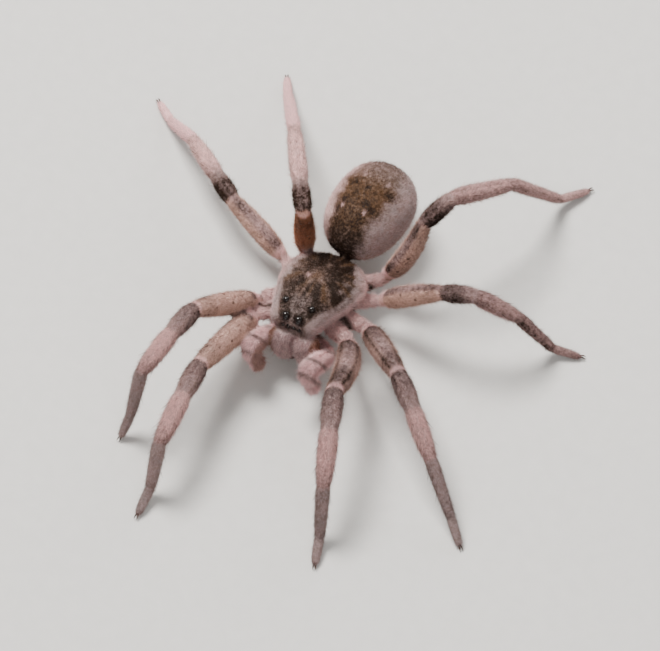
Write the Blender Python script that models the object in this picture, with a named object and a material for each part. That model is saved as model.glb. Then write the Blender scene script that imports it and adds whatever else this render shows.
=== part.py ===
"""A coastal wolf spider, Lycosa ishikariana: a still, life-size adult female.

Metres, +Z up. The spider faces -Y, its left side is +X and it stands on z = 0.
The origin lies on the floor, under the middle of the model's bounding box.
"""
import math
from collections import namedtuple

import bmesh
import bpy
from mathutils import Matrix, Vector
from mathutils.bvhtree import BVHTree

# Sizes below are in millimetres and angles in degrees.
MM = 0.001

# Gaps between pieces that touch in life.
SEAM = 0.30
EYE_SEAM = 0.10
# Least step between the first rings of a limb that leaves its joint at an angle.
MITRE_STEP = 0.06

# Stance: the body's frame has its origin between the hips, level with them.
HIP_HEIGHT = 2.8
BODY_PITCH = 6.5
BODY_ROLL = 6.0

# Hips, where each leg's trochanter ends, as (side, length) from the body's middle.
# The coxae of the two sides are swung differently.
HIPS = {
    "left": {1: (4.00, -2.80), 2: (4.65, -1.00), 3: (4.25, 1.80), 4: (3.55, 3.95)},
    "right": {1: (3.60, -3.65), 2: (4.10, -1.85), 3: (4.25, 2.10), 4: (3.40, 3.60)},
}
COXA_ROOTS = {1: (1.95, -1.95), 2: (2.05, -0.70), 3: (2.00, 0.76), 4: (1.52, 2.02)}

# Length of each segment of legs 1 to 4, and how thick the leg is.
Leg = namedtuple("Leg", "femur patella tibia metatarsus tarsus girth")
LEGS = {
    1: Leg(7.3, 3.0, 4.3, 4.5, 2.3, 1.10),
    2: Leg(6.9, 2.9, 4.0, 4.6, 2.3, 1.05),
    3: Leg(6.0, 2.6, 4.1, 4.8, 2.35, 0.97),
    4: Leg(5.9, 2.95, 5.95, 7.4, 2.8, 0.98),
}

# Pose of each leg. A heading is 0 straight ahead and 90 to the spider's left.
# The rise of each segment is above level. The metatarsus takes the rise that
# sets the foot on the floor. The femur's middle is bowed to the left of its heading.
Pose = namedtuple("Pose", "femur_heading heading femur patella tibia tarsus bow", defaults=(0,))
POSES = {
    ("left", 1): Pose(18, 21, 30, -10, -28, -12, 0.50),
    ("left", 2): Pose(49, 51, 28, -16, -30, -33),
    ("left", 3): Pose(100, 109, 38, 6, -35, -12),
    ("left", 4): Pose(153, 148, 54, 36, -24, -14, -0.50),
    ("right", 1): Pose(-8, 4, 18, 4, -4, -17),
    ("right", 2): Pose(-29, -7, 31, 9, -2, -62),
    ("right", 3): Pose(-107, -124, 20, -4, -7, -11),
    ("right", 4): Pose(-156, -147, 93, -9, -14, -31),
}

# Limb forms: (place along the segment, half width, half height, arch of the back).
FEMUR = (
    (0.00, 0.44, 0.46, 0.00), (0.08, 0.62, 0.64, 0.00), (0.18, 0.80, 0.85, 0.05),
    (0.38, 0.88, 0.97, 0.10), (0.65, 0.84, 0.92, 0.10), (0.87, 0.75, 0.80, 0.04),
    (1.00, 0.66, 0.68, 0.00),
)
PATELLA = (
    (0.00, 0.62, 0.64, 0.00), (0.28, 0.74, 0.78, 0.05), (0.68, 0.74, 0.76, 0.04),
    (1.00, 0.64, 0.66, 0.00),
)
TIBIA = (
    (0.00, 0.60, 0.62, 0.00), (0.16, 0.70, 0.72, 0.02), (0.50, 0.69, 0.70, 0.02),
    (0.82, 0.61, 0.61, 0.00), (1.00, 0.52, 0.53, 0.00),
)
METATARSUS = (
    (0.00, 0.44, 0.46, 0.00), (0.12, 0.49, 0.50, 0.00), (0.55, 0.44, 0.44, 0.00),
    (0.88, 0.39, 0.39, 0.00), (1.00, 0.34, 0.34, 0.00),
)
TARSUS = (
    (0.00, 0.32, 0.32, 0.00), (0.15, 0.37, 0.37, 0.00), (0.55, 0.34, 0.34, 0.00),
    (0.86, 0.29, 0.29, 0.00), (1.00, 0.20, 0.20, 0.00),
)
LIMB_SIDES = 10
TARSUS_SIDES = 8

# How far the sole is sunk below the floor, before it is cut flat there.
SOLE_CUT = 0.045
# A foot's two claws: (ahead of the tip, aside, above the tip, radius). Their points
# come down to the height given last.
CLAW = ((-0.16, 0.07, 0.10, 0.085), (0.23, 0.10, 0.06, 0.068), (0.42, 0.12, 0.00, 0.00))
CLAW_POINT_HEIGHT = 0.03
CLAW_SIDES = 6

# Coxa and trochanter, along each of the eight hip pieces.
HIP = (
    (0.00, 0.60, 0.58, 0.00), (0.15, 0.70, 0.68, 0.00), (0.52, 0.66, 0.66, 0.00),
    (0.63, 0.54, 0.54, 0.00), (0.78, 0.60, 0.60, 0.00), (1.00, 0.42, 0.42, 0.00),
)
# The bar that joins one side's hip pieces near their roots.
HIP_BAR_RADIUS = 0.46
HIP_BAR_INSET = 0.35
HIP_BAR_SIDES = 8
HIP_LEVEL = -0.12

# Carapace: (place along the body, half width, height of the crown, squareness).
CARAPACE = (
    (-4.52, 1.45, 1.95, 0.62), (-4.40, 1.80, 2.25, 0.66), (-4.00, 2.08, 2.55, 0.70),
    (-3.30, 2.30, 2.80, 0.74), (-2.40, 2.60, 2.92, 0.80), (-1.30, 3.05, 2.88, 0.88),
    (-0.20, 3.38, 2.74, 0.96), (0.80, 3.46, 2.50, 1.00), (1.70, 3.25, 2.16, 1.00),
    (2.45, 2.72, 1.80, 1.00), (3.00, 1.95, 1.46, 1.00), (3.35, 1.05, 1.22, 1.00),
)
CARAPACE_UNDER = 0.90
CARAPACE_RIM = 0.22
CARAPACE_RIM_INSET = 0.30
CARAPACE_ARC_POINTS = 13

# Sternum: (place along the body, half width) of its outline.
STERNUM = (
    (-2.55, 0.55), (-2.20, 1.02), (-1.50, 1.34), (-0.50, 1.46), (0.60, 1.36),
    (1.60, 1.00), (2.30, 0.55), (2.65, 0.18),
)
STERNUM_TOP = 0.58
STERNUM_EDGE = -0.95
STERNUM_FACE = -1.20
STERNUM_FACE_SHARE = 0.86
# The lip in front of it: (place along the body, half width, half height).
LABIUM = ((-3.05, 0.25, 0.13), (-2.85, 0.42, 0.215), (-2.30, 0.42, 0.215))
LABIUM_LEVEL = -0.835
LABIUM_SIDES = 8

# Eyes: each is set where a line meets the carapace. The line runs straight back, or
# straight down for an eye that looks up. Level is its height, or for an eye that
# looks up its place along the body.
Eye = namedtuple("Eye", "aside level radius sunk looks_up")
EYES = {
    "eye_anterior_median": Eye(0.23, 1.42, 0.17, 0.05, False),
    "eye_anterior_lateral": Eye(0.68, 1.38, 0.15, 0.05, False),
    "eye_posterior_median": Eye(0.55, 2.32, 0.35, 0.12, False),
    "eye_posterior_lateral": Eye(1.12, -3.15, 0.29, 0.12, True),
}

EYE_LINE_START = 9.0
LARGE_EYE = 0.25
LARGE_EYE_MESH = (12, 8)
SMALL_EYE_MESH = (8, 6)
SOCKET_MESH = (10, 6)

# Chelicera: (height, forward place, half width, half depth), and its fang.
CHELICERA_ASIDE = 1.02
# Both jaws are swung this far to the spider's left.
JAW_SWING = 0.28
CHELICERA = (
    (0.58, -4.36, 0.68, 0.50), (0.20, -4.54, 0.84, 0.70), (-0.45, -4.62, 0.88, 0.78),
    (-1.20, -4.56, 0.80, 0.68), (-1.80, -4.46, 0.62, 0.52), (-2.12, -4.40, 0.42, 0.38),
)
CHELICERA_SIDES = 12
FANG = (
    (1.12, -4.30, -2.42, 0.21), (0.72, -4.34, -2.56, 0.19), (0.38, -4.28, -2.60, 0.13),
    (0.15, -4.18, -2.52, 0.05),
)
FANG_SIDES = 8

# Palps: stations (outward, forward, up, half width), from the mouth to the tip.
PALP_ROOT = (
    (0.62, -3.05, -1.05, 0.30), (1.05, -3.22, -1.02, 0.42), (1.72, -3.45, -0.98, 0.36),
    (2.30, -3.80, -0.92, 0.34), (2.50, -4.20, -0.88, 0.36),
)
Palp = namedtuple("Palp", "spread heading femur patella tip_heading tibia tarsus")
PALPS = {
    "left": Palp(1.18, -10, 34, 22, 108, -66, -76),
    "right": Palp(0.93, -2, 36, 30, 100, -62, -76),
}
# Each palp segment's length, then (place along it, half width) of its stations.
PALP_SEGMENTS = (
    (2.30, ((0.12, 0.44), (0.45, 0.57), (0.85, 0.60))),
    (1.10, ((0.55, 0.62),)),
    (1.10, ((0.45, 0.60), (0.95, 0.56))),
    (1.35, ((0.40, 0.50), (0.75, 0.37), (1.00, 0.15))),
)
PALP_SIDES = 8

# Abdomen, in the floor's frame: middle, turn, rise towards the rear and sizes.
ABDOMEN_MIDDLE = (0.10, 7.75, 4.20)
ABDOMEN_TURN = -3.0
ABDOMEN_RISE = -3.0
ABDOMEN_LENGTH = 8.3
ABDOMEN_HALF_WIDTH = 3.22
ABDOMEN_HALF_HEIGHT = 3.05
ABDOMEN_WIDEST = 0.12
ABDOMEN_FULLNESS = 2.25
ABDOMEN_RINGS = 13
ABDOMEN_SIDES = 20
# The stalk: (behind the sternum, level) of its middle line.
PEDICEL = ((0.0, 0.10), (1.0, 0.25), (2.4, 0.90))
PEDICEL_RADIUS = 0.42
PEDICEL_SIDES = 8

# Spinnerets under the abdomen's rear: (aside, up, length, radius) of each cone, and
# (off the abdomen, radius) of their common base.
SPINNERETS = (
    (0.28, -0.20, 0.66, 0.20), (-0.28, -0.20, 0.66, 0.20), (0.32, 0.16, 0.60, 0.17),
    (-0.32, 0.16, 0.60, 0.17), (0.0, 0.42, 0.44, 0.17),
)
SPINNERET_BASE = ((0.0, 0.60), (0.40, 0.50))
# Where their base meets the abdomen, from its middle, and how far they point down.
SPINNERET_PLACE = (0, 3.88, -1.35)
SPINNERET_TILT = -27.0
SPINNERET_SUNK = 0.15
SPINNERET_SPLAY = 0.45
SPINNERET_TAPER = 0.55
SPINNERET_BASE_SIDES = 12
SPINNERET_SIDES = 8

# A path whose level direction is shorter than this counts as upright.
LEAST_LEVEL = 0.3

SIDES = {"left": 1, "right": -1}
ACROSS = Vector((1, 0, 0))
REARWARD = Vector((0, 1, 0))
UP = Vector((0, 0, 1))


def body_frame():
    """Matrix from the body's frame to the floor's frame."""
    pitch = Matrix.Rotation(math.radians(-BODY_PITCH), 4, "X")
    roll = Matrix.Rotation(math.radians(-BODY_ROLL), 4, "Y")
    return Matrix.Translation((0, 0, HIP_HEIGHT)) @ roll @ pitch


BODY = body_frame()


def bearing(heading, rise):
    """Unit vector with the given heading and rise."""
    turn = math.radians(heading)
    lift = math.radians(rise)
    level = math.cos(lift)
    return Vector((level * math.sin(turn), -level * math.cos(turn), math.sin(lift)))


def make_material(name, colour, roughness):
    """Principled material of one plain finish."""
    material = bpy.data.materials.new(name)
    material.use_nodes = True
    shader = material.node_tree.nodes["Principled BSDF"]
    shader.inputs["Base Color"].default_value = (*colour, 1.0)
    shader.inputs["Roughness"].default_value = roughness
    shader.inputs["Metallic"].default_value = 0.0
    material.diffuse_color = (*colour, 1.0)
    return material


def solid(name, points, faces):
    """Object whose origin is the middle of its own closed mesh, from millimetres."""
    middle = sum(points, Vector()) / len(points)
    mesh = bpy.data.meshes.new(name)
    mesh.from_pydata([(p - middle) * MM for p in points], [], faces)
    shell = bmesh.new()
    shell.from_mesh(mesh)
    bmesh.ops.recalc_face_normals(shell, faces=shell.faces)
    shell.to_mesh(mesh)
    shell.free()
    mesh.shade_smooth()
    piece = bpy.data.objects.new(name, mesh)
    piece.location = middle * MM
    PARTS.objects.link(piece)
    return piece


def loft(name, rings):
    """Closed solid through rings of equal point counts. A ring of one point is a tip."""
    points = []
    starts = []
    for ring in rings:
        starts.append(len(points))
        points.extend(ring)
    faces = []
    for lower, upper, a, b in zip(rings, rings[1:], starts, starts[1:]):
        count = max(len(lower), len(upper))
        for i in range(count):
            j = (i + 1) % count
            if len(lower) == 1:
                faces.append((a, b + i, b + j))
            elif len(upper) == 1:
                faces.append((a + i, b, a + j))
            else:
                faces.append((a + i, b + i, b + j, a + j))
    for ring, start in ((rings[0], starts[0]), (rings[-1], starts[-1])):
        if len(ring) > 1:
            faces.append(tuple(range(start, start + len(ring))))
    return solid(name, points, faces)


def oval(middle, across, upward, half_width, half_height, sides):
    """Ring of points round a middle, with a flat side underneath."""
    ring = []
    for i in range(sides):
        angle = 2 * math.pi * (i + 0.5) / sides - math.pi / 2
        ring.append(
            middle
            + across * (half_width * math.cos(angle))
            + upward * (half_height * math.sin(angle))
        )
    return ring


def mitre(rings, joint, along, facing):
    """Cut a limb's rings half a seam beyond the plane between it and the one before.

    The first ring comes on to that plane, and no later one stays behind it.
    """
    cut = []
    for i, ring in enumerate(rings):
        clear = SEAM / 2 + i * MITRE_STEP
        moved = []
        for p in ring:
            short = (clear - (p - joint).dot(facing)) / along.dot(facing)
            moved.append(p + along * (short if i == 0 else max(short, 0)))
        cut.append(moved)
    return cut


def limb_rings(form, start, end, heading, girth, sides, before=None, after=None, bow=0):
    """Rings of a limb segment, its ends mitred half a seam short of its joints.

    Its middle is bowed aside by the given amount, in an arc from end to end.
    """
    along = (end - start).normalized()
    across = bearing(heading + 90, 0)
    upward = along.cross(across).normalized()
    length = (end - start).length
    rings = []
    for place, half_width, half_height, arch in form:
        middle = start + along * (length * place) + upward * (arch * girth)
        middle += across * (bow * 4 * place * (1 - place))
        rings.append(oval(middle, across, upward, half_width * girth, half_height * girth, sides))
    if before is not None:
        rings = mitre(rings, start, along, (before + along).normalized())
    if after is not None:
        rings = mitre(rings[::-1], end, -along, -(along + after).normalized())[::-1]
    return rings


def swept_rings(stations, sides):
    """Rings along a bent path of (point, half width), square to it at each station."""
    rings = []
    for i, (point, radius) in enumerate(stations):
        behind = stations[max(i - 1, 0)][0]
        ahead = stations[min(i + 1, len(stations) - 1)][0]
        along = (ahead - behind).normalized()
        across = along.cross(UP)
        if across.length < LEAST_LEVEL:
            across = along.cross(-REARWARD)
        across.normalize()
        upward = across.cross(along)
        rings.append(oval(point, across, upward, radius, radius, sides))
    return rings


def evaluated_mesh(piece):
    """Mesh of a piece with its modifiers applied."""
    bpy.context.view_layer.update()
    graph = bpy.context.evaluated_depsgraph_get()
    return bpy.data.meshes.new_from_object(piece.evaluated_get(graph))


def keep_largest(mesh):
    """Drop every closed surface of a mesh but the largest."""
    shell = bmesh.new()
    shell.from_mesh(mesh)
    unseen = set(shell.verts)
    islands = []
    while unseen:
        island = []
        edge_of_search = [unseen.pop()]
        while edge_of_search:
            vertex = edge_of_search.pop()
            island.append(vertex)
            for edge in vertex.link_edges:
                other = edge.other_vert(vertex)
                if other in unseen:
                    unseen.remove(other)
                    edge_of_search.append(other)
        islands.append(island)
    islands.sort(key=len, reverse=True)
    for island in islands[1:]:
        bmesh.ops.delete(shell, geom=island, context="VERTS")
    shell.to_mesh(mesh)
    shell.free()


def combine(target, others, operation):
    """Join closed pieces to a target, or cut them out of it, and remove them."""
    group = bpy.data.collections.new(target.name + "_pieces")
    bpy.context.scene.collection.children.link(group)
    for other in others:
        PARTS.objects.unlink(other)
        group.objects.link(other)
    boolean = target.modifiers.new("combine", "BOOLEAN")
    boolean.operation = operation
    boolean.operand_type = "COLLECTION"
    boolean.collection = group
    boolean.solver = "EXACT"
    mesh = evaluated_mesh(target)
    target.modifiers.clear()
    keep_largest(mesh)
    target.data = mesh
    for other in others:
        bpy.data.objects.remove(other)
    bpy.data.collections.remove(group)
    return target


def ball(name, middle, radius, columns, rows):
    """Closed ball from a sphere primitive."""
    shell = bmesh.new()
    bmesh.ops.create_uvsphere(shell, u_segments=columns, v_segments=rows, radius=radius * MM)
    mesh = bpy.data.meshes.new(name)
    shell.to_mesh(mesh)
    shell.free()
    mesh.shade_smooth()
    piece = bpy.data.objects.new(name, mesh)
    piece.location = middle * MM
    PARTS.objects.link(piece)
    return piece


def cut_at_floor(piece):
    """Cut a piece off flat at z = 0 and close it there."""
    shell = bmesh.new()
    shell.from_mesh(piece.data)
    floor = Vector((0, 0, -piece.location.z))
    everything = list(shell.verts) + list(shell.edges) + list(shell.faces)
    cut = bmesh.ops.bisect_plane(
        shell, geom=everything, plane_co=floor, plane_no=(0, 0, 1), clear_inner=True,
    )
    edges = [item for item in cut["geom_cut"] if isinstance(item, bmesh.types.BMEdge)]
    bmesh.ops.contextual_create(shell, geom=edges)
    bmesh.ops.recalc_face_normals(shell, faces=shell.faces)
    shell.to_mesh(piece.data)
    shell.free()


def carapace_ring(along, half_width, crown, squareness):
    """Section of the carapace, from under its left rim over the crown to the right."""
    shoulder = CARAPACE_UNDER + CARAPACE_RIM
    ring = [Vector((half_width - CARAPACE_RIM_INSET, along, CARAPACE_UNDER))]
    for i in range(CARAPACE_ARC_POINTS):
        angle = math.pi * i / (CARAPACE_ARC_POINTS - 1)
        aside = half_width * math.copysign(abs(math.cos(angle)) ** squareness, math.cos(angle))
        level = shoulder + (crown - shoulder) * math.sin(angle) ** squareness
        ring.append(Vector((aside, along, level)))
    ring.append(Vector((CARAPACE_RIM_INSET - half_width, along, CARAPACE_UNDER)))
    return ring


def make_carapace_and_eyes():
    """The shield over head and thorax, with eight eyes set in sockets."""
    rings = [[BODY @ p for p in carapace_ring(*row)] for row in CARAPACE]
    carapace = loft("carapace", rings)
    bpy.context.view_layer.update()
    shell = bmesh.new()
    shell.from_mesh(carapace.data)
    shell.transform(carapace.matrix_world)
    surface = BVHTree.FromBMesh(shell)
    shell.free()
    turn = BODY.to_3x3()
    sockets = []
    for name, eye in EYES.items():
        for side, sign in SIDES.items():
            if eye.looks_up:
                source = BODY @ Vector((sign * eye.aside, eye.level, EYE_LINE_START))
                ray = turn @ -UP
            else:
                source = BODY @ Vector((sign * eye.aside, -EYE_LINE_START, eye.level))
                ray = turn @ REARWARD
            hit, normal, _, _ = surface.ray_cast(source * MM, ray)
            middle = hit / MM - normal * eye.sunk
            detail = LARGE_EYE_MESH if eye.radius > LARGE_EYE else SMALL_EYE_MESH
            ball(f"{name}_{side}", middle, eye.radius, *detail)
            sockets.append(ball("socket", middle, eye.radius + EYE_SEAM, *SOCKET_MESH))
    combine(carapace, sockets, "DIFFERENCE")


def make_sternum():
    """The plate between the legs' roots, carried up under the carapace, with the lip."""
    outline = [(half, along) for along, half in STERNUM]
    outline += [(-half, along) for along, half in reversed(STERNUM)]
    levels = ((STERNUM_FACE, STERNUM_FACE_SHARE), (STERNUM_EDGE, 1), (STERNUM_TOP, 1))
    rings = []
    for level, scale in levels:
        rings.append([BODY @ Vector((x * scale, y * scale, level)) for x, y in outline])
    sternum = loft("sternum", rings)
    lip = []
    for along, half_width, half_height in LABIUM:
        middle = Vector((0, along, LABIUM_LEVEL))
        ring = oval(middle, ACROSS, UP, half_width, half_height, LABIUM_SIDES)
        lip.append([BODY @ p for p in ring])
    combine(sternum, [loft("lip", lip)], "UNION")


def hip_point(side, number):
    """Where a leg's femur begins, in the floor's frame."""
    aside, along = HIPS[side][number]
    return BODY @ Vector((SIDES[side] * aside, along, 0))


def coxa_root(side, number):
    """Where a leg's coxa begins, beside the sternum, in the floor's frame."""
    aside, along = COXA_ROOTS[number]
    return BODY @ Vector((SIDES[side] * aside, along, HIP_LEVEL))


def coxa_bearing(side, number):
    """Direction of a leg's coxa and trochanter."""
    return (hip_point(side, number) - coxa_root(side, number)).normalized()


def make_coxae(side):
    """Coxae and trochanters of one side's four legs, joined along the body."""
    lobes = []
    for number in COXA_ROOTS:
        root = coxa_root(side, number)
        hip = hip_point(side, number)
        pose = POSES[side, number]
        along = coxa_bearing(side, number)
        heading = math.degrees(math.atan2(along.x, -along.y))
        femur = bearing(pose.femur_heading, pose.femur)
        girth = LEGS[number].girth
        rings = limb_rings(HIP, root, hip, heading, girth, LIMB_SIDES, after=femur)
        lobes.append(loft(f"coxa_{number}", rings))
    stations = []
    for number in COXA_ROOTS:
        point = coxa_root(side, number) + coxa_bearing(side, number) * HIP_BAR_INSET
        stations.append((point, HIP_BAR_RADIUS))
    bar = loft(f"coxae_{side}", swept_rings(stations, HIP_BAR_SIDES))
    combine(bar, lobes, "UNION")


def claw(name, tip, heading, sign):
    """One of a foot's two claws, bent down to the floor."""
    ahead = bearing(heading, 0)
    across = bearing(heading + 90, 0)
    stations = []
    for reach, aside, above, radius in CLAW:
        middle = tip + ahead * reach + across * (sign * aside)
        middle.z += above
        stations.append((middle, radius))
    point = stations[-1][0]
    point.z = CLAW_POINT_HEIGHT
    return loft(name, swept_rings(stations, CLAW_SIDES)[:-1] + [[point]])


def make_leg(side, number):
    """Femur, patella, tibia, metatarsus and tarsus of one leg."""
    leg = LEGS[number]
    pose = POSES[side, number]
    hip = hip_point(side, number)
    knee = hip + bearing(pose.femur_heading, pose.femur) * leg.femur
    shin = knee + bearing(pose.heading, pose.patella) * leg.patella
    ankle = shin + bearing(pose.heading, pose.tibia) * leg.tibia
    dip = math.radians(pose.tarsus)
    tip_height = TARSUS[-1][2] * leg.girth * math.cos(dip) - SOLE_CUT
    toe_height = tip_height - leg.tarsus * math.sin(dip)
    drop = math.degrees(math.asin((toe_height - ankle.z) / leg.metatarsus))
    toe = ankle + bearing(pose.heading, drop) * leg.metatarsus
    tip = toe + bearing(pose.heading, pose.tarsus) * leg.tarsus
    joints = (hip, knee, shin, ankle, toe, tip)
    headings = (pose.femur_heading,) + (pose.heading,) * 4
    forms = {
        "femur": FEMUR, "patella": PATELLA, "tibia": TIBIA,
        "metatarsus": METATARSUS, "tarsus": TARSUS,
    }
    ways = [coxa_bearing(side, number)]
    ways += [(b - a).normalized() for a, b in zip(joints, joints[1:])]
    ways.append(None)
    for i, (segment, form) in enumerate(forms.items()):
        sides = TARSUS_SIDES if segment == "tarsus" else LIMB_SIDES
        rings = limb_rings(
            form, joints[i], joints[i + 1], headings[i], leg.girth, sides, ways[i], ways[i + 2],
            pose.bow if segment == "femur" else 0,
        )
        piece = loft(f"leg_{number}_{side}_{segment}", rings)
        if segment == "tarsus":
            claws = [claw(f"claw_{sign}", tip, pose.heading, sign) for sign in (-1, 1)]
            combine(piece, claws, "UNION")
            cut_at_floor(piece)


def make_chelicera(side):
    """The stout basal part of one jaw, hanging below the face."""
    sign = SIDES[side]
    rings = []
    for level, along, half_width, half_depth in CHELICERA:
        middle = Vector((sign * CHELICERA_ASIDE + JAW_SWING, along, level))
        ring = oval(middle, ACROSS, REARWARD, half_width, half_depth, CHELICERA_SIDES)
        rings.append([BODY @ p for p in ring])
    return loft(f"chelicera_{side}", rings)


def make_fang(side):
    """The curved fang folded inward under one jaw."""
    sign = SIDES[side]
    stations = [(BODY @ Vector((sign * x + JAW_SWING, y, z)), r) for x, y, z, r in FANG]
    return loft(f"fang_{side}", swept_rings(stations, FANG_SIDES))


def make_palp(side):
    """One palp in one piece, from its flat root beside the mouth to its tip."""
    sign = SIDES[side]
    pose = PALPS[side]
    stations = []
    for x, y, z, half_width in PALP_ROOT:
        stations.append((BODY @ Vector((sign * pose.spread * x, y, z)), half_width))
    joint = stations.pop()[0]
    headings = (pose.heading, pose.heading, pose.tip_heading, pose.tip_heading)
    rises = (pose.femur, pose.patella, pose.tibia, pose.tarsus)
    for heading, rise, (length, places) in zip(headings, rises, PALP_SEGMENTS):
        way = bearing(heading, rise)
        for place, half_width in places:
            stations.append((joint + way * (length * place), half_width))
        joint = joint + way * length
    return loft(f"palp_{side}", swept_rings(stations, PALP_SIDES))


def abdomen_frame():
    """Matrix from the abdomen's own frame, +Y to its rear, to the floor's frame."""
    turn = Matrix.Rotation(math.radians(ABDOMEN_TURN), 4, "Z")
    rise = Matrix.Rotation(math.radians(ABDOMEN_RISE), 4, "X")
    return Matrix.Translation(ABDOMEN_MIDDLE) @ turn @ rise


def abdomen_girth(place):
    """Girth at a place from -1 at the front to 1 at the rear, 1 where widest."""
    if place < ABDOMEN_WIDEST:
        share = (ABDOMEN_WIDEST - place) / (1 + ABDOMEN_WIDEST)
    else:
        share = (place - ABDOMEN_WIDEST) / (1 - ABDOMEN_WIDEST)
    return (1 - share ** ABDOMEN_FULLNESS) ** (1 / ABDOMEN_FULLNESS)


def make_abdomen():
    """The egg-shaped abdomen with the short stalk that joins it to the thorax."""
    frame = abdomen_frame()
    rings = [[frame @ Vector((0, -ABDOMEN_LENGTH / 2, 0))]]
    for i in range(1, ABDOMEN_RINGS):
        place = -math.cos(math.pi * i / ABDOMEN_RINGS)
        girth = abdomen_girth(place)
        middle = Vector((0, place * ABDOMEN_LENGTH / 2, 0))
        half_width = ABDOMEN_HALF_WIDTH * girth
        half_height = ABDOMEN_HALF_HEIGHT * girth
        ring = oval(middle, ACROSS, UP, half_width, half_height, ABDOMEN_SIDES)
        rings.append([frame @ p for p in ring])
    rings.append([frame @ Vector((0, ABDOMEN_LENGTH / 2, 0))])
    abdomen = loft("abdomen", rings)
    sternum_rear = STERNUM[-1][0] + SEAM
    stations = []
    for behind, level in PEDICEL:
        stations.append((BODY @ Vector((0, sternum_rear + behind, level)), PEDICEL_RADIUS))
    combine(abdomen, [loft("stalk", swept_rings(stations, PEDICEL_SIDES))], "UNION")


def make_spinnerets():
    """The cluster of spinnerets under the abdomen's rear, on their common base."""
    tilt = Matrix.Rotation(math.radians(SPINNERET_TILT), 4, "X")
    frame = abdomen_frame() @ Matrix.Translation(SPINNERET_PLACE) @ tilt
    base = []
    for along, radius in SPINNERET_BASE:
        middle = Vector((0, SEAM + along, 0))
        ring = oval(middle, ACROSS, UP, radius, radius, SPINNERET_BASE_SIDES)
        base.append([frame @ p for p in ring])
    cones = []
    for aside, up, length, radius in SPINNERETS:
        root = Vector((aside, SEAM + SPINNERET_SUNK, up))
        end = root + Vector((aside * SPINNERET_SPLAY, length, up * SPINNERET_SPLAY))
        stations = [(frame @ root, radius), (frame @ end, radius * SPINNERET_TAPER)]
        cones.append(loft("spinneret", swept_rings(stations, SPINNERET_SIDES)))
    combine(loft("spinnerets", base), cones, "UNION")


FINISHES = {
    # Start of a piece's name: colour and roughness.
    "eye": ((0.010, 0.008, 0.008), 0.10),
    "fang": ((0.020, 0.010, 0.006), 0.25),
    "carapace": ((0.085, 0.058, 0.042), 0.80),
    "sternum": ((0.050, 0.030, 0.020), 0.70),
    "abdomen": ((0.180, 0.140, 0.120), 0.90),
    "spinnerets": ((0.180, 0.130, 0.100), 0.80),
    "chelicera": ((0.230, 0.180, 0.150), 0.80),
    "palp": ((0.380, 0.270, 0.250), 0.85),
    "coxae": ((0.330, 0.220, 0.160), 0.80),
    "leg": ((0.360, 0.260, 0.235), 0.85),
}


def finish_parts():
    """Give every part its own material and set the model on its origin."""
    lowest = Vector((math.inf, math.inf))
    highest = Vector((-math.inf, -math.inf))
    bpy.context.view_layer.update()
    for part in PARTS.objects:
        if part.type != "MESH":
            continue
        kind = part.name.split("_")[0]
        part.data.name = part.name
        part.data.materials.clear()
        part.data.materials.append(make_material(part.name + "_finish", *FINISHES[kind]))
        for vertex in part.data.vertices:
            place = part.matrix_world @ vertex.co
            lowest = Vector(map(min, lowest, place.xy))
            highest = Vector(map(max, highest, place.xy))
    stand = bpy.data.objects.new("standing_place", None)
    stand.empty_display_size = 0.005
    PARTS.objects.link(stand)
    for part in PARTS.objects:
        if part is not stand:
            part.parent = stand
    stand.location = (*(-(lowest + highest) / 2), 0)
    bpy.context.view_layer.update()


for old in list(bpy.data.objects):
    bpy.data.objects.remove(old)
PARTS = bpy.data.collections.new("coastal_wolf_spider")
bpy.context.scene.collection.children.link(PARTS)

make_carapace_and_eyes()
make_sternum()
make_abdomen()
make_spinnerets()
for each_side in SIDES:
    make_coxae(each_side)
    make_chelicera(each_side)
    make_fang(each_side)
    make_palp(each_side)
    for leg_number in LEGS:
        make_leg(each_side, leg_number)
finish_parts()
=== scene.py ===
"""Looks of a coastal wolf spider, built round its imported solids.

Lengths are in millimetres and angles in degrees, unless a name says otherwise.
The spider faces -Y, its left side is +X and the floor is z = 0.
"""
import math

import bmesh
import bpy
import numpy as np
from mathutils import Matrix, Vector
from mathutils.bvhtree import BVHTree


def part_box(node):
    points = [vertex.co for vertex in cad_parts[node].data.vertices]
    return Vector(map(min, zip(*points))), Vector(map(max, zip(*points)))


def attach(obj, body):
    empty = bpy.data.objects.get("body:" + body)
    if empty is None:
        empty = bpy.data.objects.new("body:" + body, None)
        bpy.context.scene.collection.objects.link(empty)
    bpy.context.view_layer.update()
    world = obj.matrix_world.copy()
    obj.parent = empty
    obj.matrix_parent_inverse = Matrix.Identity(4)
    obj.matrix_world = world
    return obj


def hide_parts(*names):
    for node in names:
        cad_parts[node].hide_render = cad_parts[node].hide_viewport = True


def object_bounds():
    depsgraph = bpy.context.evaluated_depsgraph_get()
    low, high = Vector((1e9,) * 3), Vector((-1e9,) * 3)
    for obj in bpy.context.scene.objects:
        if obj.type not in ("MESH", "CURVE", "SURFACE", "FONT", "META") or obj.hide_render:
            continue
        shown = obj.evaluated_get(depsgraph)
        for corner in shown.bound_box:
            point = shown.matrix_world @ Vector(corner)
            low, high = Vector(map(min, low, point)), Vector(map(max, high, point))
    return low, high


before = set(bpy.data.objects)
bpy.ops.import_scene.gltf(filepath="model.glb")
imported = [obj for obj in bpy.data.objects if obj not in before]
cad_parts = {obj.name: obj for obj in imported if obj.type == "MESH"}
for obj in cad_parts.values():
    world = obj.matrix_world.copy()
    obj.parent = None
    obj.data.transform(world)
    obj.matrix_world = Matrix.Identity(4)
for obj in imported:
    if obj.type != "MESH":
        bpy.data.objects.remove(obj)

CAD_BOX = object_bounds()
MM = 0.001
SEED = 29

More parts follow.
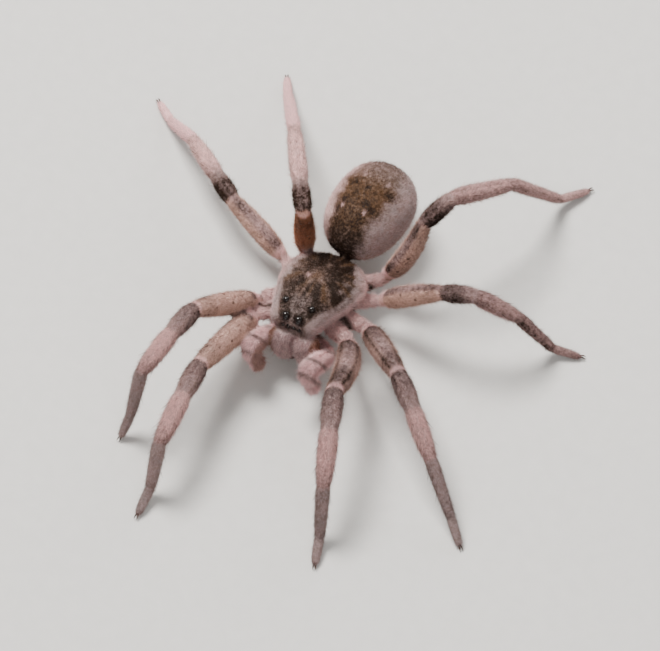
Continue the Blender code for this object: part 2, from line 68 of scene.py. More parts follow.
# Camera, aimed from the spider's left front and from above.
VIEW_AZIMUTH = 28.1
VIEW_ELEVATION = 60.0
VIEW_DISTANCE = 420.0
VIEW_LENS = 300.1
VIEW_AIM = (1.446, 0.811, -0.363)
SENSOR_WIDTH = 36.0

# Studio, in metres. Lights: (name, place, size, power, colour).
FLOOR_RADIUS = 3.0
LIGHTS = (
    ("key", (-0.22, 0.12, 0.42), 0.18, 5.2, (1.0, 0.975, 0.94)),
    ("fill", (0.30, -0.30, 0.30), 0.40, 1.1, (1.0, 0.99, 0.98)),
    ("back", (0.05, 0.45, 0.25), 0.30, 1.0, (1.0, 0.99, 0.97)),
)
SURROUND_COLOUR = (0.95, 0.94, 0.93, 1)
SURROUND_STRENGTH = 0.40

# Frames of the body and the abdomen: origin, then turns as (degrees, axis).
FRAME_TURNS = {
    "body": ((0.504, 1.020, 2.80), ((-6.0, "Y"), (-6.5, "X"))),
    "abdomen": ((0.604, 8.770, 4.20), ((-3.0, "Z"), (-3.0, "X"))),
}
# Both jaws are swung this far to the spider's left.
JAW_SWING = 0.28

SIDES = {"left": 1, "right": -1}
SEGMENTS = ("femur", "patella", "tibia", "metatarsus", "tarsus")
# Thickness of each pair of legs, as a share of the leg forms.
GIRTHS = {1: 1.10, 2: 1.05, 3: 0.97, 4: 0.98}
# How far the middle of a femur is bowed to the left of its heading.
FEMUR_BOWS = {(1, "left"): 0.50, (4, "left"): -0.50}

# Leg forms under the coat: (place along, half width, half height, arch of the back).
LEG_FORMS = {
    "femur": (
        (0.00, 0.44, 0.46, 0.00), (0.08, 0.62, 0.64, 0.00), (0.18, 0.80, 0.85, 0.05),
        (0.38, 0.88, 0.97, 0.10), (0.65, 0.84, 0.92, 0.10), (0.87, 0.75, 0.80, 0.04),
        (1.00, 0.64, 0.66, 0.00),
    ),
    "patella": (
        (0.00, 0.62, 0.64, 0.00), (0.28, 0.74, 0.78, 0.05), (0.68, 0.74, 0.76, 0.04),
        (1.00, 0.60, 0.62, 0.00),
    ),
    "tibia": (
        (0.00, 0.58, 0.60, 0.00), (0.16, 0.70, 0.72, 0.02), (0.50, 0.69, 0.70, 0.02),
        (0.82, 0.61, 0.61, 0.00), (1.00, 0.48, 0.50, 0.00),
    ),
    "metatarsus": (
        (0.00, 0.44, 0.46, 0.00), (0.12, 0.49, 0.50, 0.00), (0.55, 0.44, 0.44, 0.00),
        (0.88, 0.39, 0.39, 0.00), (1.00, 0.33, 0.33, 0.00),
    ),
    "tarsus": (
        (0.00, 0.32, 0.32, 0.00), (0.15, 0.37, 0.37, 0.00), (0.55, 0.34, 0.34, 0.00),
        (0.86, 0.29, 0.29, 0.00), (1.00, 0.18, 0.18, 0.00),
    ),
}
LEG_SIDES = 24
# Places of the rings along a segment.
LEG_STEPS = np.linspace(0.04, 0.96, 10)
LEG_ROOT_DEPTH = 0.5
LEG_ROOT_RADIUS = 0.34
LEG_TIP = 0.06
# Two solids meet where their points are nearer than this.
JOINT_REACH = 0.46
# Claws reach this far beyond the skin of a foot.
CLAW_REACH = 0.42
# A direction whose level share is less than this has no heading of its own.
LEAST_LEVEL = 0.3

# Solids whose forms the skin takes over: (node, subdivisions, swelling, as a hull).
BODY_SHELLS = (
    ("carapace", 1, 0.03, True), ("abdomen", 2, 0.04, False),
    ("chelicera_left", 2, 0.20, False), ("chelicera_right", 2, 0.20, False),
    ("palp_left", 1, 0.22, False), ("palp_right", 1, 0.22, False),
    ("spinnerets", 0, 0.10, False), ("sternum", 0, 0.0, False),
    ("coxae_left", 0, 0.0, False), ("coxae_right", 0, 0.0, False),
)
# Corners of a solid nearer than this are one.
WELD = 0.0005
# Fillers that join the shells of the body inside: (frame, middle, half sizes).
FILLERS = (
    ("body", (0.0, -0.3, 0.35), (2.35, 3.5, 1.25)),
    ("body", (0.0, -3.9, 0.45), (1.35, 0.75, 0.85)),
    ("body", (0.75, -3.1, -0.78), (0.42, 0.75, 0.36)),
    ("body", (-0.75, -3.1, -0.78), (0.42, 0.75, 0.36)),
    ("abdomen", (0.0, 3.98, -1.42), (0.50, 0.50, 0.50)),
)
# Steps from pole to pole, and sides, of fillers and of eyes.
FILLER_MESH = (13, 24)
EYE_MESH = (16, 28)

# Skin: grain and smoothing of the mesh, and how deep it lies under the solids' outline.
SKIN_GRAIN = 0.132
SKIN_SMOOTHING = 3
COAT_DEPTH = 0.10
SLENDER = ("tarsus", "spinnerets")
SLENDER_DEPTH = 0.04

# Coat, by zone: hairs per square millimetre, length, lift from the skin, base width.
COATS = {
    "femur": (350, 0.34, 24, 0.036),
    "patella": (390, 0.32, 26, 0.036),
    "tibia": (390, 0.34, 26, 0.036),
    "metatarsus": (430, 0.28, 25, 0.033),
    "tarsus": (460, 0.22, 22, 0.030),
    "coxae": (300, 0.34, 28, 0.040),
    "palp": (430, 0.38, 32, 0.036),
    "chelicera": (400, 0.34, 26, 0.036),
    "carapace": (330, 0.26, 20, 0.036),
    "sternum": (240, 0.24, 24, 0.036),
    "abdomen": (300, 0.26, 18, 0.038),
    "spinnerets": (300, 0.13, 18, 0.030),
}
# Direction in which the hair of parts other than the legs lies.
HAIR_LIES = {
    "carapace": (0.0, 1.2, -0.3), "chelicera": (0.0, -0.15, -1.0), "palp": (0.0, -0.8, -0.6),
    "coxae": (0.0, 0.0, 0.0),
}
BACKWARD = (0.0, 1.0, -0.15)
# Hair that would stand straight up lies along the skin another way.
LEAST_LIE = 0.15
SPARE_LIE = (0.3, 0.2, 0.9)
HAIR_ROOT = 0.03
# How much hairs differ: in the way they lie, in lift, and in length and width as shares.
LIE_SCATTER = 0.22
LIFT_SCATTER = 9
LENGTH_RANGE = (0.65, 1.25)
WIDTH_RANGE = (0.8, 1.2)
# Some hairs are longer, finer and more upright: their share, lift, length and width.
LONG_HAIRS = 0.09
LONG_LIFT = 16
LONG_LENGTH = 1.7
LONG_WIDTH = 0.75
# Share of the hairs that tan skin lacks, and how far inside the solids' box tips stay.
BARENESS = 0.9
BOX_MARGIN = 0.01
# Size of a hair's patch on the unwrap, and the margin and breadth of a node's cell there.
PATCH = 0.003
CELL_MARGIN = 0.04
CELL_BREADTH = 0.9


def paint(red, green, blue):
    """Linear colour from screen values of 0 to 255."""
    def linear(value):
        share = value / 255
        return share / 12.92 if share <= 0.04045 else ((share + 0.055) / 1.055) ** 2.4
    return (linear(red), linear(green), linear(blue), 1.0)


GREY_HAIR = paint(156, 140, 138)
PINK_HAIR = paint(234, 190, 186)
TAN_SKIN = paint(203, 161, 142)
AMBER_SKIN = paint(148, 88, 54)
BROWN_HAIR = paint(105, 76, 53)
DARK_HAIR = paint(38, 22, 11)
PALE_HAIR = paint(250, 202, 203)
HORN = paint(40, 20, 14)
HORN_BROWN = paint(84, 48, 32)
EYE_BLACK = paint(10, 7, 7)
EYE_BROWN = paint(26, 17, 14)
FLOOR_WHITE = paint(212, 210, 207)
FLOOR_SHADE = paint(202, 200, 197)


def mapping(origin, turns):
    """Frame matrix in millimetres from an origin and its turns, as (degrees, axis) pairs."""
    matrix = Matrix.Translation(origin)
    for degrees, axis in turns:
        matrix = matrix @ Matrix.Rotation(math.radians(degrees), 4, axis)
    return matrix


FRAMES = {name: mapping(*turns) for name, turns in FRAME_TURNS.items()}


def in_frame(points, name):
    """Coordinates of points, an array in millimetres, in a named frame."""
    inverse = np.array(FRAMES[name].inverted())
    return points @ inverse[:3, :3].T + inverse[:3, 3]


def unit(vectors):
    """Vectors at length one, along the last axis."""
    length = np.linalg.norm(vectors, axis=-1, keepdims=True)
    return vectors / np.maximum(length, 1e-9)


def smoothstep(low, high, value):
    """Zero at low, one at high, and smooth between."""
    share = np.clip((value - low) / (high - low), 0, 1)
    return share * share * (3 - 2 * share)


def band(value, middle, width, strength=1.0):
    """A strength at the middle of a value's range, falling away over a width."""
    return strength * np.exp(-((value - middle) / width) ** 2)


def at(rows, place, column=1):
    """Value of a table's column at a place, which is the table's first column."""
    rows = np.array(rows)
    return np.interp(place, rows[:, 0], rows[:, column])


def linked(name, data):
    """Object made from its data and linked to the scene."""
    made = bpy.data.objects.new(name, data)
    bpy.context.scene.collection.objects.link(made)
    return made


# Camera, floor and lights


def make_camera():
    """Camera at the photograph's angle and framing."""
    azimuth = math.radians(VIEW_AZIMUTH)
    elevation = math.radians(VIEW_ELEVATION)
    level = math.cos(elevation)
    back = Vector((math.sin(azimuth) * level, -math.cos(azimuth) * level, math.sin(elevation)))
    camera = linked("camera", bpy.data.cameras.new("camera"))
    camera.data.lens = VIEW_LENS
    camera.data.sensor_width = SENSOR_WIDTH
    camera.location = (Vector(VIEW_AIM) + back * VIEW_DISTANCE) * MM
    camera.rotation_mode = "QUATERNION"
    camera.rotation_quaternion = (-back).to_track_quat("-Z", "Y")
    bpy.context.scene.camera = camera


def make_light(name, place, size, power, colour):
    """Square area light that faces the spider. Place and size are in metres."""
    light = bpy.data.lights.new(name, "AREA")
    light.size = size
    light.energy = power
    light.color = colour
    lamp = linked(name, light)
    lamp.location = place
    lamp.rotation_mode = "QUATERNION"
    lamp.rotation_quaternion = (-Vector(place)).to_track_quat("-Z", "Y")


def make_studio():
    """Pale floor, soft lights and a pale surround."""
    shell = bmesh.new()
    bmesh.ops.create_circle(shell, cap_ends=True, segments=64, radius=FLOOR_RADIUS)
    mesh = bpy.data.meshes.new("floor")
    shell.to_mesh(mesh)
    shell.free()
    floor = linked("floor", mesh)
    mesh.materials.append(floor_material())
    for light in LIGHTS:
        make_light(*light)
    world = bpy.data.worlds.new("surround")
    world.use_nodes = True
    background = world.node_tree.nodes["Background"]
    background.inputs["Color"].default_value = SURROUND_COLOUR
    background.inputs["Strength"].default_value = SURROUND_STRENGTH
    bpy.context.scene.world = world


# Materials

# Noises of the finishes: (waves per metre, detail, roughness).
FLOOR_NOISE = (900, 3, 0.5)
NAP_NOISE = (16000, 3, 0.7)
HAIR_NOISE = (30000, 2, 0.5)
HORN_NOISE = (5000, 3, 0.6)
EYE_NOISE = (2500, 2, 0.5)
MARK_NOISES = {"blotch": (900, 3, 0.6), "mottle": (2600, 3, 0.65), "grain": (9000, 2, 0.6)}
SPECKLE_NOISE = (5200, 2, 0.6)
# How far each noise shifts the edges of a mark.
RAGGED = {
    "warm": {"blotch": 0.16},
    "tan": {"mottle": 0.10},
    "brown": {"mottle": 0.16, "grain": 0.10},
    "dark": {"mottle": 0.20, "grain": 0.12},
    "pale": {"mottle": 0.12, "grain": 0.15},
}
# Part of a noise's range over which it shifts a mark from its least to its most.
NOISE_RANGE = (0.25, 0.75)
SPECKLE_RANGE = (0.35, 0.65)
# Speckle of the dark mark: its strength, and its share where there is no brown.
SPECKLE = 0.20
LEAST_SPECKLE = 0.35
# Marks at which each hair colour starts and is full, and how full it gets.
BROWN_EDGES = (0.12, 0.88)
DARK_EDGES = (0.10, 0.90)
PALE_EDGES = (0.12, 0.95, 0.0, 0.95)
# Dark dots on tan skin: (dots per metre, radius in cells, radius with the soft edge), strength.
TAN_DOTS = (1100, 0.10, 0.17)
TAN_DOT_STRENGTH = 0.9


def new_material(name):
    """Material with a Principled shader, its node tree and that shader."""
    material = bpy.data.materials.new(name)
    material.use_nodes = True
    tree = material.node_tree
    return material, tree, tree.nodes["Principled BSDF"]


def feed(tree, socket, value):
    """Link a socket's value, or set it where it is a plain number or colour."""
    if isinstance(value, bpy.types.NodeSocket):
        tree.links.new(value, socket)
    else:
        socket.default_value = value


def add_node(tree, kind, inputs, **settings):
    """Node with its settings made and its inputs fed."""
    node = tree.nodes.new(kind)
    for name, value in settings.items():
        setattr(node, name, value)
    for socket, value in inputs.items():
        feed(tree, node.inputs[socket], value)
    return node


def mix(tree, first, second, factor):
    """Colour between two colours."""
    inputs = {"Factor": factor, 6: first, 7: second}
    node = add_node(tree, "ShaderNodeMix", inputs, data_type="RGBA", clamp_factor=True)
    return node.outputs[2]


def maths(tree, operation, first, second):
    """Result of one sum on two numbers or sockets."""
    node = add_node(tree, "ShaderNodeMath", {0: first, 1: second}, operation=operation)
    return node.outputs[0]


def spread(tree, value, low, high, to_low=0.0, to_high=1.0):
    """A value's range stretched to another, and clamped there."""
    inputs = {
        "Value": value, "From Min": low, "From Max": high, "To Min": to_low, "To Max": to_high,
    }
    return add_node(tree, "ShaderNodeMapRange", inputs).outputs["Result"]


def noise(tree, scale, detail, roughness):
    """Noise on Object coordinates, with its scale in waves per metre."""
    place = tree.nodes.new("ShaderNodeTexCoord").outputs["Object"]
    inputs = {"Vector": place, "Scale": scale, "Detail": detail, "Roughness": roughness}
    return add_node(tree, "ShaderNodeTexNoise", inputs).outputs["Fac"]


def dots(tree, scale, low, high):
    """Small round dots, one where each distance is under the lower limit."""
    place = tree.nodes.new("ShaderNodeTexCoord").outputs["Object"]
    node = add_node(tree, "ShaderNodeTexVoronoi", {"Vector": place, "Scale": scale})
    return spread(tree, node.outputs["Distance"], low, high, 1.0, 0.0)


def attribute(tree, name):
    """A number stored on the mesh."""
    return add_node(tree, "ShaderNodeAttribute", {}, attribute_name=name).outputs["Fac"]


def dimmed(tree, colour, value):
    """A colour with its brightness multiplied."""
    inputs = {"Color": colour, "Value": value}
    return add_node(tree, "ShaderNodeHueSaturation", inputs).outputs["Color"]


def dress_shader(tree, shader, colour, roughness, height, strength, metres):
    """Feed a shader its colour, its roughness and a bump of a strength and a depth."""
    inputs = {"Height": height, "Strength": strength, "Distance": metres}
    bump = add_node(tree, "ShaderNodeBump", inputs).outputs["Normal"]
    for name, value in (("Base Color", colour), ("Roughness", roughness), ("Normal", bump)):
        feed(tree, shader.inputs[name], value)


def roughened(tree, mark, noises):
    """A stored mark with its edges broken up by noises."""
    value = attribute(tree, mark)
    for name, shift in RAGGED[mark].items():
        shifts = spread(tree, noises[name], *NOISE_RANGE, -shift, shift)
        value = maths(tree, "ADD", value, shifts)
    return value


def marked_colour(tree):
    """The markings that skin and coat share, from the marks stored on the mesh."""
    noises = {name: noise(tree, *settings) for name, settings in MARK_NOISES.items()}
    marks = {mark: roughened(tree, mark, noises) for mark in RAGGED}
    colour = mix(tree, GREY_HAIR, PINK_HAIR, marks["warm"])
    colour = mix(tree, colour, TAN_SKIN, marks["tan"])
    colour = mix(tree, colour, BROWN_HAIR, spread(tree, marks["brown"], *BROWN_EDGES))
    colour = mix(tree, colour, AMBER_SKIN, attribute(tree, "amber"))
    speckle = spread(tree, noise(tree, *SPECKLE_NOISE), *SPECKLE_RANGE, -SPECKLE, SPECKLE)
    share = maths(tree, "POWER", attribute(tree, "brown"), 2.0)
    share = maths(tree, "ADD", share, LEAST_SPECKLE)
    dark = maths(tree, "ADD", marks["dark"], maths(tree, "MULTIPLY", speckle, share))
    colour = mix(tree, colour, DARK_HAIR, spread(tree, dark, *DARK_EDGES))
    spots = maths(tree, "MULTIPLY", dots(tree, *TAN_DOTS), attribute(tree, "tan"))
    colour = mix(tree, colour, DARK_HAIR, maths(tree, "MULTIPLY", spots, TAN_DOT_STRENGTH))
    return mix(tree, colour, PALE_HAIR, spread(tree, marks["pale"], *PALE_EDGES))


def floor_material():
    """Pale paper with a faint shade."""
    material, tree, shader = new_material("floor_paper")
    colour = mix(tree, FLOOR_WHITE, FLOOR_SHADE, noise(tree, *FLOOR_NOISE))
    tree.links.new(colour, shader.inputs["Base Color"])
    shader.inputs["Roughness"].default_value = 0.85
    return material


def skin_material():
    """Haired skin: the shared markings, with a fine flat nap as bump."""
    material, tree, shader = new_material("haired_skin")
    nap = noise(tree, *NAP_NOISE)
    colour = dimmed(tree, marked_colour(tree), spread(tree, nap, 0.3, 0.8, 0.62, 1.0))
    roughness = spread(tree, nap, 0.2, 0.8, 0.55, 0.85)
    dress_shader(tree, shader, colour, roughness, nap, strength=0.6, metres=0.00004)
    shader.inputs["Specular IOR Level"].default_value = 0.35
    return material


def hair_material():
    """Hair: the shared markings, each hair a little lighter or darker than the next."""
    material, tree, shader = new_material("short_hair")
    shade = attribute(tree, "shade")
    colour = dimmed(tree, marked_colour(tree), spread(tree, shade, 0.0, 1.0, 0.72, 1.22))
    roughness = spread(tree, shade, 0.0, 1.0, 0.85, 0.70)
    grain = noise(tree, *HAIR_NOISE)
    dress_shader(tree, shader, colour, roughness, grain, strength=0.3, metres=0.00001)
    shader.inputs["Specular IOR Level"].default_value = 0.10
    return material


def horn_material():
    """Dark glossy horn of claws, fangs and spines."""
    material, tree, shader = new_material("dark_horn")
    grain = noise(tree, *HORN_NOISE)
    colour = mix(tree, HORN, HORN_BROWN, spread(tree, grain, 0.35, 0.75))
    roughness = spread(tree, grain, 0.2, 0.8, 0.22, 0.42)
    dress_shader(tree, shader, colour, roughness, grain, strength=0.25, metres=0.00002)
    return material


def eye_material():
    """Wet black eye."""
    material, tree, shader = new_material("eye_glaze")
    film = noise(tree, *EYE_NOISE)
    colour = mix(tree, EYE_BLACK, EYE_BROWN, film)
    roughness = spread(tree, film, 0.2, 0.8, 0.05, 0.12)
    dress_shader(tree, shader, colour, roughness, film, strength=0.05, metres=0.00001)
    shader.inputs["Specular IOR Level"].default_value = 0.35
    return material


# Meshes


def mesh_vectors(items, name):
    """Array of one vector property of a mesh's items."""
    values = np.zeros(len(items) * 3)
    items.foreach_get(name, values)
    return values.reshape(-1, 3)


def mesh_of(name, points, faces):
    """Mesh from points and faces, with its faces turned outwards."""
    mesh = bpy.data.meshes.new(name)
    mesh.from_pydata(points, [], faces)
    shell = bmesh.new()
    shell.from_mesh(mesh)
    bmesh.ops.recalc_face_normals(shell, faces=shell.faces)
    shell.to_mesh(mesh)
    shell.free()
    return mesh


def made_real(helper):
    """Mesh of a helper with its modifiers applied. The helper is removed."""
    graph = bpy.context.evaluated_depsgraph_get()
    mesh = bpy.data.meshes.new_from_object(helper.evaluated_get(graph))
    bpy.data.objects.remove(helper)
    return mesh


def new_piece(name, points, faces, material):
    """Smooth object at the origin from points in millimetres."""
    mesh = mesh_of(name, [tuple(c * MM for c in p) for p in points], faces)
    mesh.shade_smooth()
    mesh.materials.append(material)
    return linked(name, mesh)


def ring_faces(starts, counts):
    """Faces between rings of points. A ring of one point is a tip."""
    faces = []
    for here, there, count, next_count in zip(starts, starts[1:], counts, counts[1:]):
        around = max(count, next_count)
        for i in range(around):
            j = (i + 1) % around
            if count == 1:
                faces.append((here, there + i, there + j))
            elif next_count == 1:
                faces.append((here + i, there, here + j))
            else:
                faces.append((here + i, there + i, there + j, here + j))
    for start, count in ((starts[0], counts[0]), (starts[-1], counts[-1])):
        if count > 1:
            faces.append(tuple(range(start, start + count)))
    return faces


def loft(rings):
    """Points and faces of a closed form through rings, each an array of points."""
    counts = [len(ring) for ring in rings]
    starts = [sum(counts[:index]) for index in range(len(counts))]
    return np.vstack(rings), ring_faces(starts, counts)


def merged(lofts):
    """Points and faces of several lofts as one mesh."""
    points, faces = [], []
    for more_points, more_faces in lofts:
        start = len(points)
        points += [tuple(p) for p in more_points]
        faces += [tuple(start + i for i in face) for face in more_faces]
    return points, faces


def ellipse(middle, across, upward, half_width, half_height, sides):
    """Ring of points round a middle, by its half widths across and upward."""
    angle = 2 * math.pi * np.arange(sides) / sides
    wide = np.outer(np.cos(angle), across) * half_width
    high = np.outer(np.sin(angle), upward) * half_height
    return middle + wide + high


def ball(steps, sides):
    """Points and faces of a ball of radius one, its poles in front and behind."""
    rings = [np.array([(0.0, -1.0, 0.0)])]
    for angle in np.linspace(0, math.pi, steps + 1)[1:-1]:
        middle = np.array((0.0, -math.cos(angle), 0.0))
        girth = math.sin(angle)
        rings.append(ellipse(middle, (1.0, 0.0, 0.0), (0.0, 0.0, 1.0), girth, girth, sides))
    rings.append(np.array([(0.0, 1.0, 0.0)]))
    return loft(rings)


def swept(stations, sides):
    """Rings along a bent path of (point, radius). A radius of zero is a tip."""
    rings = []
    points = [np.array(p, float) for p, _ in stations]
    for i, (_, radius) in enumerate(stations):
        if radius == 0:
            rings.append(np.array([points[i]]))
            continue
        along = unit(points[min(i + 1, len(points) - 1)] - points[max(i - 1, 0)])
        across = np.cross(along, (0.0, 0.0, 1.0))
        if np.linalg.norm(across) < LEAST_LEVEL:
            across = np.cross(along, (0.0, -1.0, 0.0))
        across = unit(across)
        upward = np.cross(across, along)
        rings.append(ellipse(points[i], across, upward, radius, radius, sides))
    return rings


# Skeleton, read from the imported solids


def node_points(name):
    """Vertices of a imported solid, in millimetres."""
    return mesh_vectors(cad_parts[name].data.vertices, "co") / MM


def joint_between(first, second):
    """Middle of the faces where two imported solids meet."""
    before, after = node_points(first), node_points(second)
    gaps = np.linalg.norm(before[:, None] - after[None], axis=2)
    before = before[gaps.min(1) < JOINT_REACH]
    after = after[gaps.min(0) < JOINT_REACH]
    return (before.mean(0) + after.mean(0)) / 2


def leg_joints(number, side):
    """Joints of a leg from hip to tip."""
    names = [f"leg_{number}_{side}_{segment}" for segment in SEGMENTS]
    joints = [joint_between(f"coxae_{side}", names[0])]
    joints += [joint_between(a, b) for a, b in zip(names, names[1:])]
    tarsus = node_points(names[-1])
    reach = np.linalg.norm(tarsus - joints[-1], axis=1)
    far = tarsus[reach.argmax()]
    tip = joints[-1] + (far - joints[-1]) * (1 - CLAW_REACH / reach.max())
    tip[2] = LEG_FORMS["tarsus"][-1][2] * GIRTHS[number]
    return joints + [tip]


def leg_heading(joints):
    """Level direction of a leg beyond its femur, in radians."""
    way = joints[-1] - joints[1]
    return math.atan2(way[0], -way[1])


def ball_of(name):
    """Middle and radius of an eye, in millimetres."""
    low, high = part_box(name)
    return np.array((low + high) / 2) / MM, max(high - low) / 2 / MM


LEGS = {(n, s): leg_joints(n, s) for n in GIRTHS for s in SIDES}
EYES = {name: ball_of(name) for name in sorted(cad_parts) if name.startswith("eye")}


def segment_frame(number, side, index):
    """Start, end, and the along, across and upward directions of a leg segment."""
    joints = LEGS[number, side]
    start, end = joints[index], joints[index + 1]
    along = unit(end - start)
    heading = leg_heading(joints)
    if index == 0 and math.hypot(along[0], along[1]) > LEAST_LEVEL:
        heading = math.atan2(along[0], -along[1])
    across = np.array((math.cos(heading), math.sin(heading), 0.0))
    return start, end, along, across, unit(np.cross(along, across))


def bow_at(number, side, index, t):
    """How far a leg segment is bowed aside at a place along it."""
    bow = FEMUR_BOWS.get((number, side), 0) if index == 0 else 0
    return bow * 4 * t * (1 - t)


def leg_section(number, side, index, t):
    """Middle, half width and half height of a leg segment at a place along it."""
    start, end, _, across, upward = segment_frame(number, side, index)
    wide, high, arch = (
        at(LEG_FORMS[SEGMENTS[index]], t, column) * GIRTHS[number] for column in (1, 2, 3)
    )
    middle = start + (end - start) * t + upward * arch
    return middle + across * bow_at(number, side, index, t), wide, high


# Skin


def leg_shell(number, side):
    """Closed form of one leg, from inside its coxa to its tip."""
    rings = []
    for index in range(len(SEGMENTS)):
        start, _, along, across, upward = segment_frame(number, side, index)
        if index == 0:
            root = start - along * LEG_ROOT_DEPTH
            radius = LEG_ROOT_RADIUS
            rings.append(ellipse(root, across, upward, radius, radius, LEG_SIDES))
        for t in LEG_STEPS:
            middle, wide, high = leg_section(number, side, index, t)
            rings.append(ellipse(middle, across, upward, wide, high, LEG_SIDES))
    rings.append(np.array([LEGS[number, side][-1] + along * LEG_TIP]))
    return loft(rings)


def solid_copy(name, levels, swelling, hull):
    """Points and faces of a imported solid, rounded by subdivision and swelled a little."""
    shell = bmesh.new()
    shell.from_mesh(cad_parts[name].data)
    shell.transform(Matrix.Scale(1 / MM, 4))
    bmesh.ops.remove_doubles(shell, verts=shell.verts, dist=WELD)
    if hull:
        made = bmesh.ops.convex_hull(shell, input=shell.verts)
        inside = list({v for v in made["geom_interior"] if isinstance(v, bmesh.types.BMVert)})
        bmesh.ops.delete(shell, geom=inside, context="VERTS")
        loose = [v for v in shell.verts if not v.link_faces]
        bmesh.ops.delete(shell, geom=loose, context="VERTS")
    mesh = bpy.data.meshes.new(name + "_copy")
    shell.to_mesh(mesh)
    shell.free()
    helper = linked(name + "_copy", mesh)
    rounding = helper.modifiers.new("rounding", "SUBSURF")
    rounding.levels = levels
    rounding.render_levels = levels
    rounded = made_real(helper)
    points = mesh_vectors(rounded.vertices, "co")
    normals = mesh_vectors(rounded.vertex_normals, "vector")
    return points + normals * swelling, [tuple(p.vertices) for p in rounded.polygons]


def filler_shell(name, middle, half_sizes):
    """Egg-shaped form in a named frame."""
    points, faces = ball(*FILLER_MESH)
    matrix = np.array(FRAMES[name])
    return (points * half_sizes + middle) @ matrix[:3, :3].T + matrix[:3, 3], faces


def make_skin():
    """One closed mesh over all the flesh, in millimetres."""
    shells = [leg_shell(number, side) for number, side in LEGS]
    shells += [solid_copy(*shell) for shell in BODY_SHELLS]
    shells += [filler_shell(*filler) for filler in FILLERS]
    helper = linked("skin_shells", mesh_of("skin_shells", *merged(shells)))
    joining = helper.modifiers.new("joining", "REMESH")
    joining.mode = "VOXEL"
    joining.voxel_size = SKIN_GRAIN
    easing = helper.modifiers.new("easing", "SMOOTH")
    easing.factor = 0.5
    easing.iterations = SKIN_SMOOTHING
    skin = made_real(helper)
    skin.name = "skin"
    return skin


def keep_whole(skin):
    """Drop scraps that the joining left loose inside."""
    shell = bmesh.new()
    shell.from_mesh(skin)
    unseen = set(shell.verts)
    islands = []
    while unseen:
        island = []
        edge_of_search = [unseen.pop()]
        while edge_of_search:
            vertex = edge_of_search.pop()
            island.append(vertex)
            for edge in vertex.link_edges:
                other = edge.other_vert(vertex)
                if other in unseen:
                    unseen.remove(other)
                    edge_of_search.append(other)
        islands.append(island)
    islands.sort(key=len, reverse=True)
    for island in islands[1:]:
        bmesh.ops.delete(shell, geom=island, context="VERTS")
    shell.to_mesh(skin)
    shell.free()


# Where each point of the skin lies on the spider

FLESH = sorted(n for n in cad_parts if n.split("_")[0] not in ("eye", "fang"))


class Places:
    """For each point: its node, its place along and around it, and the lie of its hair."""

    def __init__(self, points):
        corners, faces, owners = [], [], []
        for index, name in enumerate(FLESH):
            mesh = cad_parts[name].data
            start = len(corners)
            corners += [v.co / MM for v in mesh.vertices]
            faces += [tuple(start + i for i in p.vertices) for p in mesh.polygons]
            owners += [index] * len(mesh.polygons)
        tree = BVHTree.FromPolygons(corners, faces)
        found = np.array([tree.find_nearest(Vector(p))[2] for p in points])
        self.points = points
        self.owner = np.array(owners)[found]
        self.along, self.top, self.aside = np.zeros((3, len(points)))
        self.lie = np.zeros((len(points), 3))
        for index, name in enumerate(FLESH):
            mask = self.owner == index
            if mask.any():
                self.measure(mask, name)

    def measure(self, mask, name):
        """Fill in the places of one node's points."""
        points = self.points[mask]
        words = name.split("_")
        if words[0] == "leg":
            leg = (int(words[1]), words[2], SEGMENTS.index(words[3]))
            start, end, along, across, upward = segment_frame(*leg)
            offset = points - start
            share = offset @ along / np.linalg.norm(end - start)
            wide, high = offset @ across - bow_at(*leg, share), offset @ upward
            lie = along
        else:
            solid = node_points(name)
            low, far = solid.min(0), solid.max(0)
            offset = points - (low + far) / 2
            share = (points[:, 1] - low[1]) / (far[1] - low[1])
            wide, high = offset[:, 0], offset[:, 2]
            lie = lie_of(words[0], points, offset)
        radius = np.maximum(np.hypot(wide, high), 1e-6)
        self.along[mask] = share
        self.aside[mask] = wide / radius
        self.top[mask] = high / radius
        self.lie[mask] = lie


def lie_of(kind, points, offset):
    """Direction in which the hair of a part other than a leg lies."""
    lie = np.tile(HAIR_LIES.get(kind, BACKWARD), (len(points), 1))
    if kind == "carapace":
        body = in_frame(points, "body")
        lie[:, 0] = 0.35 * body[:, 0]
        lie[:, 1] += 0.1 * body[:, 1]
    if kind == "coxae":
        lie[:, 0] = np.sign(points[:, 0])
        lie[:, 1] = 0.2 * offset[:, 1]
    return lie


# Markings, as shares of 0 to 1: dark, brown and pale hair, pink warmth, tan and amber skin

MARKS = ("dark", "pale", "tan", "warm", "brown", "amber")

# Dark share of the segments of front and rear legs, as (place along it, share).
LEG_DARK = {
    "femur": ((0.10, 0.10), (0.15, 0.64), (0.35, 0.34), (0.6, 0.08), (0.80, 0.52), (1, 0.46)),
    "patella": ((0, 0.54), (0.3, 0.42), (0.6, 0.28), (0.8, 0.14), (1, 0.06)),
    "tibia": ((0, 0.10), (0.28, 0.00), (0.55, 0.00), (0.85, 0.26), (1, 0.34)),
    "metatarsus": ((0, 0.16), (0.5, 0.18), (1, 0.30)),
    "tarsus": ((0, 0.26), (1, 0.24)),
}
REAR_LEG_DARK = {
    "femur": ((0.10, 0.10), (0.15, 0.62), (0.35, 0.42), (0.6, 0.32), (0.85, 0.60), (1, 0.54)),
    "patella": ((0, 0.78), (0.5, 0.80), (0.8, 0.46), (1, 0.28)),
    "tibia": ((0, 0.30), (0.30, 0.13), (0.7, 0.13), (1, 0.30)),
    "metatarsus": ((0, 0.12), (0.4, 0.02), (1, 0.08)),
    "tarsus": ((0, 0.02), (1, 0.10)),
}
# Warm share of the segments of front and rear legs.
LEG_WARM = {"femur": 0.50, "patella": 0.40, "tibia": 0.95, "metatarsus": 0.20, "tarsus": 0.20}
REAR_LEG_WARM = {"femur": 0.6, "patella": 0.4, "tibia": 0.9, "metatarsus": 1.0, "tarsus": 1.0}
